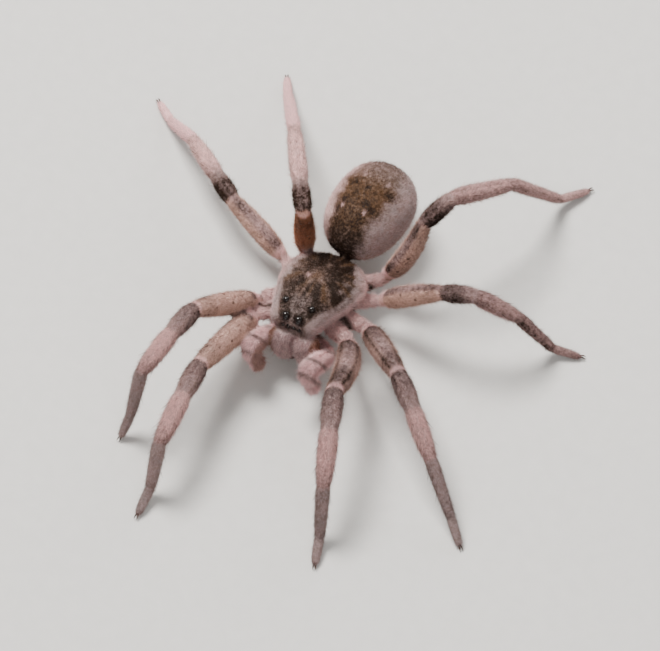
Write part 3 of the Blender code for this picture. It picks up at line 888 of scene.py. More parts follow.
# Tan share of the sides of each segment.
LEG_TAN = {"femur": 0.75, "patella": 0.15, "tibia": 0.08, "metatarsus": 0.05, "tarsus": 0.03}
# Share of that tan which left legs have, but for the last.
LEFT_TAN = 0.65
# What is added to the dark share of a leg's segments, where it differs from the others: partly
# their own colour, and partly painted shade on the left legs, which face away from the key light.
DARKER = {
    (3, "left", "patella"): -0.18, (3, "left", "tibia"): 0.16, (3, "left", "metatarsus"): 0.50,
    (3, "left", "tarsus"): 0.50, (1, "left", "femur"): 0.10, (2, "left", "femur"): 0.08,
    (1, "right", "metatarsus"): -0.12, (2, "right", "metatarsus"): -0.06,
    (3, "right", "femur"): 0.06, (4, "left", "patella"): -0.08, (4, "left", "tibia"): 0.05,
    (4, "left", "metatarsus"): 0.24, (4, "left", "tarsus"): 0.30, (4, "left", "femur"): 0.18,
}
# Fine dark lines along the legs: how many go round, and their strength by segment.
LINES_AROUND = 8
LINES = {"femur": 0.12, "patella": 0.16, "tibia": 0.16, "metatarsus": 0.14, "tarsus": 0.05}
# Strength of the pale lines between them, as a share of theirs.
PALE_LINES = 0.8
# Waves by which the lines wander: (strength, radians along a segment, shift from leg to leg).
WANDER = ((0.8, 5, 1), (0.5, 13, 2))
# Painted shade: darker along both sides of the segments between femur and tarsus, where they turn
# away from the light.
PAINTED_SIDE_SHADE = 0.18
# Femora whose backs are tan too, with a dark line along the outer side.
TAN_BACKED = ((1, "right"), (2, "right"))
TAN_BACK = 0.66
OUTER_LINE = (-0.80, 0.20, 0.34)
# Tan on the front of the left rear femora, and under every femur.
REAR_TAN = 0.80
TAN_BELOW = 0.7
# The left front femora are outlined, along both sides of the back.
OUTLINED = ((1, "left"), (2, "left"))
OUTLINE = (0.66, 0.13, 0.34)
# Rings round the root of a femur: (place along, width, strength).
DARK_ROOT = (0.0, 0.025, 0.25)
PALE_ROOT = (0.07, 0.045, 0.60)
# Pale ring at the knee end of femora and patellae: width in front and behind, and strength.
RING_WIDTH = 0.035
REAR_RING_WIDTH = 0.025
FRONT_FEMUR_RING = 0.62
RING = 0.25
# Pale on the last two segments of the right rear legs, partly pale hair and partly painted light
# where they face the key light; all rear ones are darker underneath.
PALE_AND_LIT_FEET = 0.78
REAR_FEET_BELOW = 0.40
# The one femur that is bare and orange-brown, darkest towards its knee.
BARE_FEMUR = "leg_4_right_femur"
BARE_TAN = 0.75
BARE_DARK = ((0, 0.00), (0.4, 0.06), (0.7, 0.36), (0.9, 0.58), (1, 0.24))
BARE_AMBER = ((0, 0.00), (0.12, 0.20), (0.4, 0.85), (0.95, 0.90), (1, 0.40))
BARE_RING = (1.0, 0.03, 0.35)


def leg_lines(number, along, top, aside):
    """Dark and pale shares of the fine wavy lines along the back of a leg segment."""
    wander = sum(size * np.sin(turns * along + shift * number) for size, turns, shift in WANDER)
    wave = np.cos(LINES_AROUND * np.arctan2(aside, top) + wander)
    above = smoothstep(-0.3, 0.3, top) * (0.65 + 0.35 * np.sin(17 * along + 5 * aside + number))
    return smoothstep(0.4, 1.0, wave) * above, smoothstep(-0.4, -1.0, wave) * above


def femur_marks(leg, along, top, aside, dark, pale, tan):
    """Dark, pale and tan shares of a femur, from those that it shares with other segments."""
    if leg in TAN_BACKED:
        back = smoothstep(0.08, 0.25, along) * smoothstep(-0.8, -0.3, aside)
        tan = np.maximum(tan, TAN_BACK * back)
    if leg[0] > 2 and leg[1] == "left":
        tan = np.maximum(tan, REAR_TAN * smoothstep(0.1, -0.5, aside))
    tan = np.maximum(tan, TAN_BELOW * smoothstep(0.3, -0.4, top))
    dark = dark * (1 - 0.55 * smoothstep(0.2, 0.8, tan)) + band(along, *DARK_ROOT)
    if leg in OUTLINED:
        beyond_root = smoothstep(0.10, 0.16, along) * smoothstep(-0.2, 0.4, top)
        dark = dark + band(np.abs(aside), *OUTLINE) * beyond_root
    if leg in TAN_BACKED:
        dark = dark + band(aside, *OUTER_LINE) * smoothstep(-0.3, 0.3, top)
    return dark, np.maximum(pale, band(along, *PALE_ROOT)), tan


def leg_marks(name, along, top, aside):
    """Marks of a leg segment."""
    words = name.split("_")
    number, side, segment = int(words[1]), words[2], words[3]
    rear = number > 2
    warm = (REAR_LEG_WARM if rear else LEG_WARM)[segment]
    if name == BARE_FEMUR:
        return {
            "dark": at(BARE_DARK, along), "pale": band(along, *BARE_RING), "tan": BARE_TAN,
            "warm": warm, "amber": at(BARE_AMBER, along),
        }
    tan = LEG_TAN[segment] * smoothstep(0.15, 0.75, np.abs(aside))
    if side == "left" and number < 4:
        tan = tan * LEFT_TAN
    dark_lines, pale_lines = leg_lines(number, along, top, aside)
    dark = at((REAR_LEG_DARK if rear else LEG_DARK)[segment], along)
    dark = dark + LINES[segment] * dark_lines
    pale = PALE_LINES * LINES[segment] * pale_lines
    if segment == "femur":
        dark, pale, tan = femur_marks((number, side), along, top, aside, dark, pale, tan)
    elif segment != "tarsus":
        # Painted shade along the sides of the segment.
        dark = dark + PAINTED_SIDE_SHADE * smoothstep(0.55, 0.95, np.abs(aside))
    if segment in ("femur", "patella"):
        ring = band(along, 1.0, REAR_RING_WIDTH if rear else RING_WIDTH)
        strength = FRONT_FEMUR_RING if segment == "femur" and not rear else RING
        pale = np.maximum(pale, strength * ring * smoothstep(-0.4, 0.4, top))
        dark = dark * (1 - 1.2 * strength * ring)
    if rear and segment in ("metatarsus", "tarsus"):
        # Partly pale hair, partly painted light on the right rear feet; darker underneath.
        pale = PALE_AND_LIT_FEET if side == "right" else 0.0
        dark = np.maximum(dark, REAR_FEET_BELOW * smoothstep(-0.3, -0.9, top))
    # Partly own colour, partly painted shade on the left legs.
    dark = dark + DARKER.get((number, side, segment), 0)
    return {"dark": dark, "pale": pale, "tan": tan, "warm": warm}


# Reach of the carapace's dark middle: (place along the body, to the left, to the right).
CARAPACE_BAND = (
    (-4.6, 1.10, 1.10), (-3.6, 1.60, 1.60), (-2.6, 2.15, 2.00), (-1.6, 2.60, 2.25),
    (-0.5, 2.75, 2.35), (0.5, 2.70, 2.40), (1.2, 2.35, 2.30), (2.0, 1.90, 2.00),
    (2.8, 1.50, 1.60), (3.4, 1.10, 1.10),
)
# Half width of the carapace along the body, for the fine lines along its margin.
CARAPACE_EDGE = (
    (-4.5, 1.45), (-4.0, 2.08), (-2.4, 2.60), (-1.3, 3.05), (-0.2, 3.38), (0.8, 3.46),
    (1.7, 3.25), (2.45, 2.72), (3.0, 1.95), (3.4, 1.05),
)
# Lines along the margin: (share of the half width, width, strength).
DARK_MARGINS = ((0.91, 0.03, 0.22), (1.06, 0.03, 0.16))
PALE_MARGIN = (0.99, 0.03, 0.25)
# Place along the body from which the streaks spread, and how many there would be all round.
FOVEA = 0.7
STREAKS = 13
# Pale strokes that part the dark of the head from that of the sides: (start, end).
STROKES = (
    ((-0.30, 0.05), (-0.36, -2.60)), ((-0.30, 0.05), (1.34, -1.05)), ((1.34, -1.05), (2.15, -2.25)),
)
STROKE_WIDTH = 0.13
# Soft ovals: (aside, along, half width, half length). The light ones lie on both sides, and
# the brown one in the middle.
LIGHT_OVALS = ((2.15, 0.35, 0.34, 0.22), (2.15, -0.55, 0.26, 0.22))
BROWN_OVAL = (-0.10, -0.10, 0.90, 1.00)
# Pale spots on it: (aside, along, radius, share).
CARAPACE_SPOTS = ((0.05, 1.45, 0.24, 0.90), (-0.75, -0.35, 0.22, 0.50))
# Dark rim of an eye's socket, and how much narrower it is round eyes under the small radius.
SOCKET = 0.42
SOCKET_DARK = 0.95
SMALL_EYE = 0.20
SMALL_SOCKET = 2.5
# Dark share of the shield's margin, and how much darker and browner its middle is.
MARGIN_DARK = 0.14
CARAPACE_DARK = 0.82
CARAPACE_BROWN = 0.45
# What the streaks take from the dark and add to the brown.
STREAK_LIGHT = 0.66
STREAK_BROWN = 0.30
# Painted light and shade: how much lighter the dark middle is to the right, which faces the key
# light, and how much darker to the left.
RIGHT_LIGHTER = 0.20
LEFT_DARKER = 0.06
# What each form on the shield takes from the dark under it.
DARK_TAKEN = {"ovals": 0.75, "middle": 0.56, "strokes": 0.50, "head": 0.30, "front": 0.75}
# Brown share beside the dark middles of the shield and the abdomen.
BASE_BROWN = 0.15
# What a pale spot takes from the dark and brown marks under it.
SPOT_CLEARS = 0.85


def oval_at(x, y, aside, along, half_width, half_length):
    """One in the middle of a soft oval and zero well outside it."""
    return np.exp(-((x - aside) / half_width) ** 2 - ((y - along) / half_length) ** 2)


def stroke_at(x, y, start, end):
    """One along a soft stroke between two places and zero well away from it."""
    way_x, way_y = end[0] - start[0], end[1] - start[1]
    share = ((x - start[0]) * way_x + (y - start[1]) * way_y) / (way_x ** 2 + way_y ** 2)
    share = np.clip(share, 0, 1)
    gap = np.hypot(x - start[0] - share * way_x, y - start[1] - share * way_y)
    return np.exp(-(gap / STROKE_WIDTH) ** 2)


def carapace_band(x, y):
    """The shield's dark middle: its reach, how far a point is inside it, and its streaks."""
    reach = np.where(x > 0, at(CARAPACE_BAND, y, 1), at(CARAPACE_BAND, y, 2))
    turn = np.arctan2(x, y - FOVEA)
    streak = smoothstep(0.25, 0.95, np.sin(STREAKS * turn + 1.7 * np.sin(4 * turn)))
    streak = streak * smoothstep(0.9, 2.0, np.hypot(x, y - FOVEA)) * smoothstep(-3.0, -1.8, y)
    reach = reach * (0.95 + 0.10 * streak)
    inside = 1 - smoothstep(reach - 0.18, reach + 0.22, np.abs(x))
    return reach, inside, streak * (0.6 + 0.4 * smoothstep(-1.0, 1.0, x))


def socket_at(points):
    """Dark share round the eyes."""
    dark = np.zeros(len(points))
    for middle, radius in EYES.values():
        gap = (np.linalg.norm(points - middle, axis=1) - radius) / SOCKET
        gap = gap * (SMALL_SOCKET if radius < SMALL_EYE else 1.0)
        dark = np.maximum(dark, SOCKET_DARK * smoothstep(1.0, 0.1, gap))
    return dark


def carapace_marks(points):
    """Marks of the shield over head and thorax."""
    x, y, _ = in_frame(points, "body").T
    reach, inside, streak = carapace_band(x, y)
    beyond = np.abs(x) - reach
    margin = np.abs(x) / at(CARAPACE_EDGE, y)
    # Painted light on the right side of the shield, painted shade on its left.
    lighter = RIGHT_LIGHTER * smoothstep(-0.8, -1.6, x) - LEFT_DARKER * smoothstep(0.6, 1.4, x)
    dark = MARGIN_DARK + inside * (CARAPACE_DARK - STREAK_LIGHT * streak - lighter)
    dark = dark + sum(band(margin, *line) for line in DARK_MARGINS)
    forms = {
        "ovals": np.max([oval_at(np.abs(x), y, *oval) for oval in LIGHT_OVALS], axis=0),
        "middle": oval_at(x, y, *BROWN_OVAL),
        "strokes": np.max([stroke_at(x, y, *stroke) for stroke in STROKES], axis=0),
        "head": smoothstep(-1.9, -2.9, y) * (1 - 0.85 * band(np.abs(x), 1.25, 0.50)),
        "front": smoothstep(-3.85, -4.25, y),
    }
    for form, share in DARK_TAKEN.items():
        dark = dark * (1 - share * forms[form])
    dark = np.maximum(dark, socket_at(points))
    brown = BASE_BROWN + inside * (CARAPACE_BROWN + STREAK_BROWN * streak)
    brown = np.maximum(brown * (1 - 0.5 * forms["ovals"]), 0.80 * forms["middle"])
    brown = brown * (1 - 0.50 * forms["head"])
    pale = 0.14 * smoothstep(0.1, 0.7, beyond) + band(margin, *PALE_MARGIN)
    for aside, along, radius, share in CARAPACE_SPOTS:
        spot = oval_at(x, y, aside, along, radius, radius)
        pale = np.maximum(pale * (1 - inside), share * spot)
        dark = dark * (1 - SPOT_CLEARS * spot)
    warm = 0.15 + 0.50 * smoothstep(0.2, 1.0, beyond) * smoothstep(-3.4, -1.8, y)
    tan = 0.15 * forms["middle"] + 0.30 * forms["strokes"]
    return {"dark": dark, "pale": pale, "tan": tan, "warm": warm, "brown": brown}


# Band along the abdomen's back: (place along it, half width, dark, brown), and its middle.
ABDOMEN_BAND = (
    (-4.2, 1.3, 0.90, 0.6), (-3.2, 1.45, 0.70, 0.9), (-2.0, 1.65, 0.56, 0.9),
    (-1.35, 1.85, 0.54, 0.95), (-0.90, 1.90, 0.38, 1.0), (0.2, 2.05, 0.33, 0.95),
    (1.0, 2.05, 0.30, 0.70), (2.4, 1.80, 0.34, 0.50), (4.2, 1.20, 0.40, 0.5),
)
BAND_MIDDLE = -0.25
BAND_EDGE = 0.55
# Dark blotches on it: (aside, along, half width, half length, share).
BLOTCHES = (
    (0.95, -1.50, 0.56, 0.38, 1.00), (-1.40, -1.50, 0.50, 0.40, 0.98),
    (0.30, -1.20, 0.50, 0.38, 1.00), (0.50, -2.60, 0.30, 0.80, 0.90),
    (-1.55, -2.30, 0.30, 0.80, 0.92), (0.80, -3.30, 0.50, 0.45, 0.90),
    (-0.80, -3.40, 0.50, 0.45, 0.90), (-0.35, -2.20, 0.16, 0.70, 0.80),
    (-0.95, -0.80, 0.32, 0.38, 0.92), (1.45, 0.30, 0.54, 0.40, 1.00),
    (-1.50, 0.15, 0.50, 0.38, 0.94), (-0.30, 0.00, 0.42, 0.34, 1.00),
    (0.45, -0.20, 0.22, 0.20, 0.85), (0.70, 1.55, 0.40, 0.20, 0.60),
    (-0.90, 1.55, 0.40, 0.20, 0.60), (0.45, 2.40, 0.26, 0.14, 0.40),
    (-0.50, 2.40, 0.26, 0.14, 0.40),
)
# Pale spots on it: (aside, along, radius, share).
ABDOMEN_SPOTS = (
    (0.55, -1.95, 0.13, 0.85), (-1.35, -2.00, 0.13, 0.60),
    (0.92, 1.05, 0.13, 0.60), (-1.15, 1.05, 0.13, 0.35),
)


def abdomen_marks(points):
    """Marks of the abdomen: a dark mottled band along its back, and greyish pink flanks."""
    x, y, z = in_frame(points, "abdomen").T
    width, strength, brownness = (at(ABDOMEN_BAND, y, column) for column in (1, 2, 3))
    width = width + 0.14 * np.sin(3.1 * y) + 0.10 * np.sin(7.3 * y + x)
    beyond = np.abs(x - BAND_MIDDLE) - width
    front = smoothstep(-2.8, -3.6, y) * smoothstep(1.5, 1.0, np.abs(x))
    inside = smoothstep(BAND_EDGE, -BAND_EDGE, beyond)
    inside = inside * np.maximum(smoothstep(-0.3, 0.8, z), front)
    flank = 0.17 - 0.10 * smoothstep(0.5, -1.5, x)
    dark = flank + inside * (strength - flank)
    brown = BASE_BROWN + inside * (brownness - BASE_BROWN)
    pale = 0.15 * smoothstep(0.3, 1.0, beyond)
    for *oval, share in BLOTCHES:
        dark = np.maximum(dark, share * oval_at(x, y, *oval) * (z > -1.5))
    for aside, along, radius, share in ABDOMEN_SPOTS:
        spot = oval_at(x, y, aside, along, radius, radius) * (z > 0)
        pale = np.maximum(pale, share * spot)
        dark = dark * (1 - SPOT_CLEARS * spot)
        brown = brown * (1 - SPOT_CLEARS * spot)
    tan = 0.15 * smoothstep(0.5, -1.5, z)
    warm = 0.18 + 0.35 * smoothstep(0.0, -2.0, x)
    return {"dark": dark, "pale": pale, "tan": tan, "warm": warm, "brown": brown}


# Marks of the parts that are of one colour all over.
PLAIN_MARKS = {
    "sternum": {"dark": 0.80, "tan": 0.2, "warm": 0.3, "brown": 0.6},
    "spinnerets": {"dark": 0.45, "pale": 0.05, "tan": 0.2, "warm": 0.3, "brown": 0.5},
}


def jaw_marks(points):
    """Marks of the jaws: amber and brown outside, pale in front, with painted shade where they
    meet.
    """
    aside = np.abs(in_frame(points, "body")[:, 0] - JAW_SWING)
    side = smoothstep(1.35, 1.75, aside)
    # Painted shade in the gap where the two jaws meet.
    inner = smoothstep(0.35, 0.12, aside)
    return {
        "dark": 0.26 * side + 0.60 * inner, "pale": 0.42 * (1 - side), "tan": 0.5 * side,
        "brown": 0.10 + 0.3 * side, "amber": 0.45 * side,
    }


def palp_marks(points, top):
    """Marks of the palps: pale, with dark creases across and amber inner sides."""
    body = in_frame(points, "body")
    wave = np.sin(body[:, 1] * 4.2 + body[:, 2] * 2.0)
    inner = smoothstep(1.90, 1.55, np.abs(body[:, 0]))
    crease = (0.10 * wave + 0.34 * smoothstep(0.55, 1.0, wave)) * smoothstep(-0.4, 0.4, top)
    return {
        "dark": np.maximum(crease, 0.25 * inner), "warm": 0.30, "amber": 0.45 * inner,
        "pale": 0.68 - 0.50 * np.maximum(inner, smoothstep(0.5, 1.0, wave)),
    }


def hip_marks(points):
    """Marks of the hips: pale, with painted shade in the creases between the legs."""
    hips = np.array([joints[0] for joints in LEGS.values()])
    gaps = np.sort(np.linalg.norm(points[:, None] - hips[None], axis=2), axis=1)
    # Painted shade in the creases between neighbouring legs.
    crease = smoothstep(0.45, 0.0, gaps[:, 1] - gaps[:, 0])
    return {
        "dark": 0.12 + 0.65 * crease, "pale": 0.45 * (1 - crease), "tan": 0.2, "warm": 0.30,
        "brown": 0.3 * crease,
    }


def marks_of(name, points, along, top, aside):
    """Marks of one node's points. A mark that it leaves out is zero."""
    kind = name.split("_")[0]
    if kind == "leg":
        return leg_marks(name, along, top, aside)
    if kind == "palp":
        return palp_marks(points, top)
    if kind in PLAIN_MARKS:
        return PLAIN_MARKS[kind]
    makers = {
        "carapace": carapace_marks, "abdomen": abdomen_marks, "chelicera": jaw_marks,
        "coxae": hip_marks,
    }
    return makers[kind](points)


def all_marks(places):
    """Array of the marks of every point."""
    marks = np.zeros((len(places.points), len(MARKS)))
    for index, name in enumerate(FLESH):
        mask = places.owner == index
        if mask.any():
            parts = (places.points, places.along, places.top, places.aside)
            for mark, share in marks_of(name, *(part[mask] for part in parts)).items():
                marks[mask, MARKS.index(mark)] = np.clip(share, 0, 1)
    return marks


def store(mesh, name, values):
    """Store one number per vertex on a mesh."""
    layer = mesh.attributes.new(name, "FLOAT", "POINT")
    layer.data.foreach_set("value", np.ascontiguousarray(values, np.float32))


def finish_skin(skin):
    """Sink the skin by the coat's depth, mark it and make it a piece.

    Returns the sunk points, their normals, places and marks, for the coat.
    """
    points = mesh_vectors(skin.vertices, "co")
    normals = mesh_vectors(skin.vertex_normals, "vector")
    places = Places(points)
    slender = np.array([name.endswith(SLENDER) for name in FLESH])[places.owner]
    depth = np.where(slender, SLENDER_DEPTH, COAT_DEPTH)
    sunk = points - normals * depth[:, None]
    skin.vertices.foreach_set("co", (sunk * MM).ravel())
    marks = all_marks(places)
    for index, name in enumerate(MARKS):
        store(skin, name, marks[:, index])
    skin.update()
    skin.shade_smooth()
    skin.materials.clear()
    skin.materials.append(skin_material())
    piece = linked("skin", skin)
    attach(piece, "root")
    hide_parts(*FLESH)
    return sunk, normals, places, marks


# Coat


def zone_of(name):
    """Zone of the coat that a node belongs to."""
    words = name.split("_")
    return words[3] if words[0] == "leg" else words[0]


def coat_piece_of(name):
    """Name of the coat piece that covers a node."""
    words = name.split("_")
    if words[0] == "leg":
        return f"coat_leg_{words[1]}_{words[2]}"
    if words[0] in ("chelicera", "palp"):
        return "coat_jaws_and_palps"
    if words[0] in ("abdomen", "spinnerets"):
        return "coat_abdomen"
    return "coat_carapace" if words[0] == "carapace" else "coat_hips"


def unwrapped(places, picked):
    """Place of each picked point on an unwrap of the skin: one cell for each node."""
    columns = math.ceil(math.sqrt(len(FLESH)))
    owner = places.owner[picked]
    around = np.arctan2(places.aside[picked], places.top[picked]) / (2 * math.pi) + 0.5
    along = np.clip(places.along[picked], 0, 1)
    u = (owner % columns + CELL_MARGIN + CELL_BREADTH * around) / columns
    v = (owner // columns + CELL_MARGIN + CELL_BREADTH * along) / columns
    return np.stack([u, v], 1)


def hair_roots(rng, skin, sunk, places):
    """For each hair: the corners of its triangle of skin, and its place among them as weights."""
    skin.calc_loop_triangles()
    triangles = np.zeros(len(skin.loop_triangles) * 3, np.int64)
    skin.loop_triangles.foreach_get("vertices", triangles)
    triangles = triangles.reshape(-1, 3)
    corner = sunk[triangles]
    edges = corner[:, 1:] - corner[:, :1]
    area = np.linalg.norm(np.cross(edges[:, 0], edges[:, 1]), axis=1) / 2
    density = np.array([COATS[zone_of(name)][0] for name in FLESH])
    expected = area * density[places.owner[triangles[:, 0]]]
    counts = np.floor(expected + rng.random(len(expected))).astype(int)
    chosen = triangles[np.repeat(np.arange(len(triangles)), counts)]
    return chosen, rng.dirichlet((1, 1, 1), len(chosen))


def make_coat(skin, sunk, normals, places, marks):
    """Short hair over all the skin, in tapered solid blades."""
    rng = np.random.default_rng(SEED)
    corners, weights = hair_roots(rng, skin, sunk, places)
    count = len(corners)

    def blended(values):
        return (values[corners] * weights[:, :, None]).sum(1)

    roots = blended(sunk)
    facing = unit(blended(normals))
    hair_marks = blended(marks)
    nearest = corners[np.arange(count), weights.argmax(1)]
    owner = places.owner[nearest]
    rows = np.array([COATS[zone_of(name)] for name in FLESH])[owner]
    lie = unit(places.lie[nearest])
    lie = lie - facing * (lie * facing).sum(1, keepdims=True)
    weak = np.linalg.norm(lie, axis=1) < LEAST_LIE
    lie[weak] = np.cross(facing[weak], SPARE_LIE)
    lie = unit(unit(lie) + rng.normal(0, LIE_SCATTER, lie.shape))
    long = rng.random(count) < LONG_HAIRS
    lift = np.radians(rows[:, 2] + rng.normal(0, LIFT_SCATTER, count) + long * LONG_LIFT)
    way = unit(lie * np.cos(lift)[:, None] + facing * np.sin(lift)[:, None])
    length = rows[:, 1] * rng.uniform(*LENGTH_RANGE, count) * np.where(long, LONG_LENGTH, 1)
    width = rows[:, 3] * rng.uniform(*WIDTH_RANGE, count) * np.where(long, LONG_WIDTH, 1)
    hairs = {
        "roots": roots, "way": way, "facing": facing, "length": length, "width": width,
        "shade": rng.random(count), "marks": hair_marks, "patch": unwrapped(places, nearest),
    }
    tips = roots + way * length[:, None]
    bare = hair_marks[:, MARKS.index("tan")] ** 2 * BARENESS
    low, high = (np.array(corner) / MM for corner in CAD_BOX)
    boxed = ((tips > low + BOX_MARGIN) & (tips < high - BOX_MARGIN)).all(1)
    kept = boxed & (rng.random(count) > bare)
    names = np.array([coat_piece_of(name) for name in FLESH])
    material = hair_material()
    for name in sorted(set(names.tolist())):
        mask = kept & (names[owner] == name)
        hair_piece(name, material, **{key: values[mask] for key, values in hairs.items()})


def hair_piece(name, material, roots, way, facing, length, width, shade, marks, patch):
    """One coat piece of three-sided blades, each with a patch of its own on the unwrap."""
    count = len(roots)
    across = unit(np.cross(way, facing))
    upward = np.cross(across, way)
    base = roots - facing * HAIR_ROOT
    half = width[:, None] / 2
    tip = base + way * (length + HAIR_ROOT)[:, None]
    points = np.stack([base + across * half, base - across * half, base + upward * half, tip], 1)
    blade = np.array([(0, 2, 3), (2, 1, 3), (1, 0, 3), (0, 1, 2)])
    corners = (blade.ravel()[None] + 4 * np.arange(count)[:, None]).ravel()
    mesh = bpy.data.meshes.new(name)
    mesh.vertices.add(count * 4)
    mesh.loops.add(count * 12)
    mesh.polygons.add(count * 4)
    mesh.vertices.foreach_set("co", (points * MM).ravel())
    mesh.loops.foreach_set("vertex_index", corners)
    mesh.polygons.foreach_set("loop_start", np.arange(0, count * 12, 3))
    mesh.update(calc_edges=True)
    corner_uv = np.array([(-0.5, -0.5), (0.5, -0.5), (0.0, 0.0), (0.0, 0.5)]) * PATCH
    uv = patch[:, None] + corner_uv[blade.ravel()][None]
    layer = mesh.uv_layers.new(name="OFBake")
    layer.data.foreach_set("uv", uv.astype(np.float32).ravel())
    for index, mark in enumerate(MARKS):
        store(mesh, mark, np.repeat(marks[:, index], 4))
    store(mesh, "shade", np.repeat(shade, 4))
    mesh.shade_smooth()
    mesh.materials.append(material)
    piece = linked(name, mesh)
    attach(piece, "root")


# Horn: spines, claws and fangs

# Spines of each segment: (place along, degrees round from the back, length).
SPINES = {
    "femur": ((0.35, 12, 0.9), (0.60, -14, 0.9), (0.82, 25, 0.8), (0.82, -28, 0.8)),
    "patella": ((0.55, 70, 0.7), (0.55, -70, 0.7)),
    "tibia": (
        (0.25, 60, 1.0), (0.25, -60, 1.0), (0.60, 70, 1.0), (0.60, -70, 1.0),
        (0.35, 150, 1.1), (0.35, -150, 1.1), (0.70, 150, 1.1), (0.70, -150, 1.1),
    ),
    "metatarsus": (
        (0.15, 90, 1.0), (0.15, -90, 1.0), (0.50, 110, 1.0), (0.50, -110, 1.0),
        (0.88, 70, 0.7), (0.88, -70, 0.7),
    ),
}
SPINE_WIDTH = 0.065
SPINE_LIFT = 24
SPINE_SIDES = 6
# How deep a spine is rooted in the skin, and how far its tip stays above the floor.
SPINE_ROOT = 0.05
SPINE_CLEARANCE = 0.03
# How much spines differ: in place along, in degrees round, and in length as shares.
SPINE_SHIFT = 0.03
SPINE_TURN = 6
SPINE_LENGTHS = (0.85, 1.1)

# Claw: (ahead of the foot's tip, aside, up, radius). Its point is just above the floor.
CLAW = (
    (-0.15, 0.06, 0.10, 0.06), (0.14, 0.09, 0.13, 0.055), (0.30, 0.11, 0.02, 0.035),
    (0.36, 0.11, 0.0, 0.0),
)
CLAW_POINT_HEIGHT = 0.02
CLAW_SIDES = 8

# Fang: (aside, forward, up, radius) from its root to its point, in the body's frame.
FANG = (
    (1.16, -4.30, -2.20, 0.20), (1.12, -4.30, -2.42, 0.20), (0.95, -4.33, -2.54, 0.19),
    (0.72, -4.34, -2.59, 0.165), (0.50, -4.31, -2.60, 0.13), (0.30, -4.25, -2.57, 0.085),
    (0.15, -4.18, -2.52, 0.0),
)
FANG_SIDES = 14


def stored_vector(tree, name):
    """A vector stored on the points, in a geometry node tree."""
    inputs = {"Name": name}
    node = add_node(tree, "GeometryNodeInputNamedAttribute", inputs, data_type="FLOAT_VECTOR")
    return node.outputs["Attribute"]


def spine_tree(material):
    """Geometry node tree that sets a tapered spine on each point, along its stored aim."""
    tree = bpy.data.node_groups.new("spines", "GeometryNodeTree")
    for name, way, kind in (
        ("Geometry", "INPUT", "Geometry"), ("Width", "INPUT", "Float"),
        ("Geometry", "OUTPUT", "Geometry"),
    ):
        tree.interface.new_socket(name, in_out=way, socket_type="NodeSocket" + kind)
    entry = tree.nodes.new("NodeGroupInput")
    cone = add_node(tree, "GeometryNodeMeshCone", {
        "Vertices": SPINE_SIDES, "Side Segments": 2, "Radius Top": 0.0, "Depth": 1.0,
        "Radius Bottom": entry.outputs["Width"],
    })
    aim = {"Vector": stored_vector(tree, "aim")}
    turn = add_node(tree, "FunctionNodeAlignRotationToVector", aim, axis="Z")
    spines = add_node(tree, "GeometryNodeInstanceOnPoints", {
        "Points": entry.outputs["Geometry"], "Instance": cone.outputs["Mesh"],
        "Rotation": turn.outputs["Rotation"], "Scale": stored_vector(tree, "reach"),
    })
    real = add_node(
        tree, "GeometryNodeRealizeInstances", {"Geometry": spines.outputs["Instances"]})
    finish = add_node(tree, "GeometryNodeSetMaterial", {
        "Geometry": real.outputs["Geometry"], "Material": material,
    })
    add_node(tree, "NodeGroupOutput", {"Geometry": finish.outputs["Geometry"]})
    return tree


def spine_points():
    """Root, aim and length of every leg spine."""
    rng = np.random.default_rng(SEED + 1)
    roots, aims, lengths = [], [], []
    lift = math.radians(SPINE_LIFT)
    for number, side in LEGS:
        for index, segment in enumerate(SEGMENTS):
            _, _, along, across, upward = segment_frame(number, side, index)
            for t, turn, length in SPINES.get(segment, ()):
                t = t + rng.uniform(-SPINE_SHIFT, SPINE_SHIFT)
                turn = math.radians(turn + rng.uniform(-SPINE_TURN, SPINE_TURN))
                out = upward * math.cos(turn) + across * math.sin(turn)
                middle, wide, high = leg_section(number, side, index, t)
                radius = math.hypot(wide * math.sin(turn), high * math.cos(turn))
                aim = along * math.cos(lift) + out * math.sin(lift)
                root = middle + out * (radius - COAT_DEPTH - SPINE_ROOT)
                long = length * GIRTHS[number] * rng.uniform(*SPINE_LENGTHS)
                if (root + aim * long)[2] >= SPINE_CLEARANCE:
                    roots.append(root)
                    aims.append(aim)
                    lengths.append(long)
    return np.array(roots), np.array(aims), np.array(lengths)


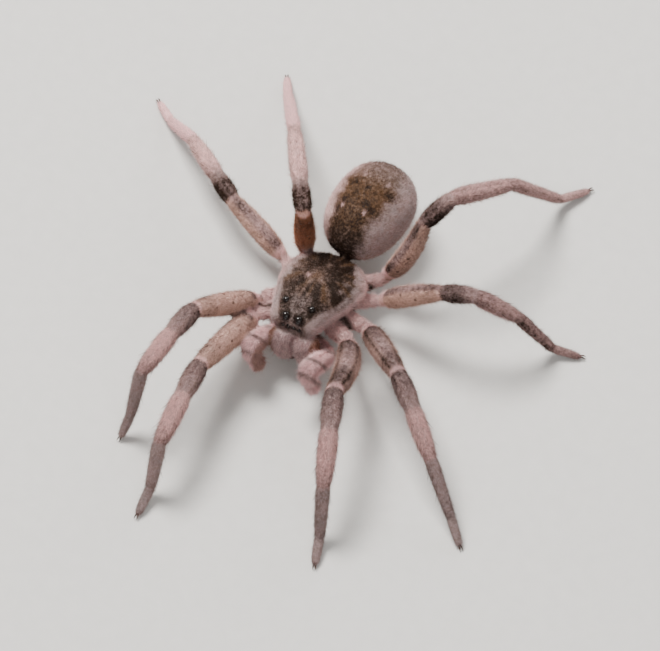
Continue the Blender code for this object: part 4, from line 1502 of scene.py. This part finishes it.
def make_spines(horn):
    """Dark spines of the legs, by Geometry Nodes."""
    roots, aims, lengths = spine_points()
    mesh = bpy.data.meshes.new("spine_roots")
    mesh.from_pydata([tuple(r * MM) for r in roots], [], [])
    scale = np.stack([np.ones(len(lengths)), np.ones(len(lengths)), lengths], 1) * MM
    for name, vectors in (("aim", aims), ("reach", scale)):
        layer = mesh.attributes.new(name, "FLOAT_VECTOR", "POINT")
        layer.data.foreach_set("vector", vectors.astype(np.float32).ravel())
    helper = linked("spine_roots", mesh)
    modifier = helper.modifiers.new("spines", "NODES")
    modifier.node_group = spine_tree(horn)
    for item in modifier.node_group.interface.items_tree:
        if item.in_out == "INPUT" and item.name == "Width":
            modifier[item.identifier] = SPINE_WIDTH / 2
    spines = made_real(helper)
    spines.name = "leg_spines"
    spines.shade_smooth()
    piece = linked("leg_spines", spines)
    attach(piece, "root")


def make_claws(horn):
    """Two curved claws on each foot."""
    lofts = []
    for joints in LEGS.values():
        heading = leg_heading(joints)
        ahead = np.array((math.sin(heading), -math.cos(heading), 0.0))
        across = np.array((math.cos(heading), math.sin(heading), 0.0))
        up = np.array((0.0, 0.0, 1.0))
        for side in (-1, 1):
            stations = []
            for forward, aside, rise, radius in CLAW:
                place = joints[-1] + ahead * forward + across * (side * aside) + up * rise
                stations.append((place, radius))
            stations[-1][0][2] = CLAW_POINT_HEIGHT
            lofts.append(loft(swept(stations, CLAW_SIDES)))
    piece = new_piece("claws", *merged(lofts), horn)
    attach(piece, "root")


def make_fangs(horn):
    """The curved fangs under the jaws."""
    for side, sign in SIDES.items():
        stations = []
        for x, y, z, radius in FANG:
            stations.append((FRAMES["body"] @ Vector((sign * x + JAW_SWING, y, z)), radius))
        points, faces = loft(swept(stations, FANG_SIDES))
        piece = new_piece(f"fang_{side}_horn", points, faces, horn)
        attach(piece, "root")
        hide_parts(f"fang_{side}")


def make_eyes():
    """A smooth wet ball in place of each eye's solid."""
    material = eye_material()
    points, faces = ball(*EYE_MESH)
    for name, (middle, radius) in EYES.items():
        piece = new_piece(name + "_ball", points * radius + middle, faces, material)
        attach(piece, "root")
        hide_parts(name)


make_camera()
make_studio()
SKIN = make_skin()
keep_whole(SKIN)
make_coat(SKIN, *finish_skin(SKIN))
DARK_HORN = horn_material()
make_spines(DARK_HORN)
make_claws(DARK_HORN)
make_fangs(DARK_HORN)
make_eyes()
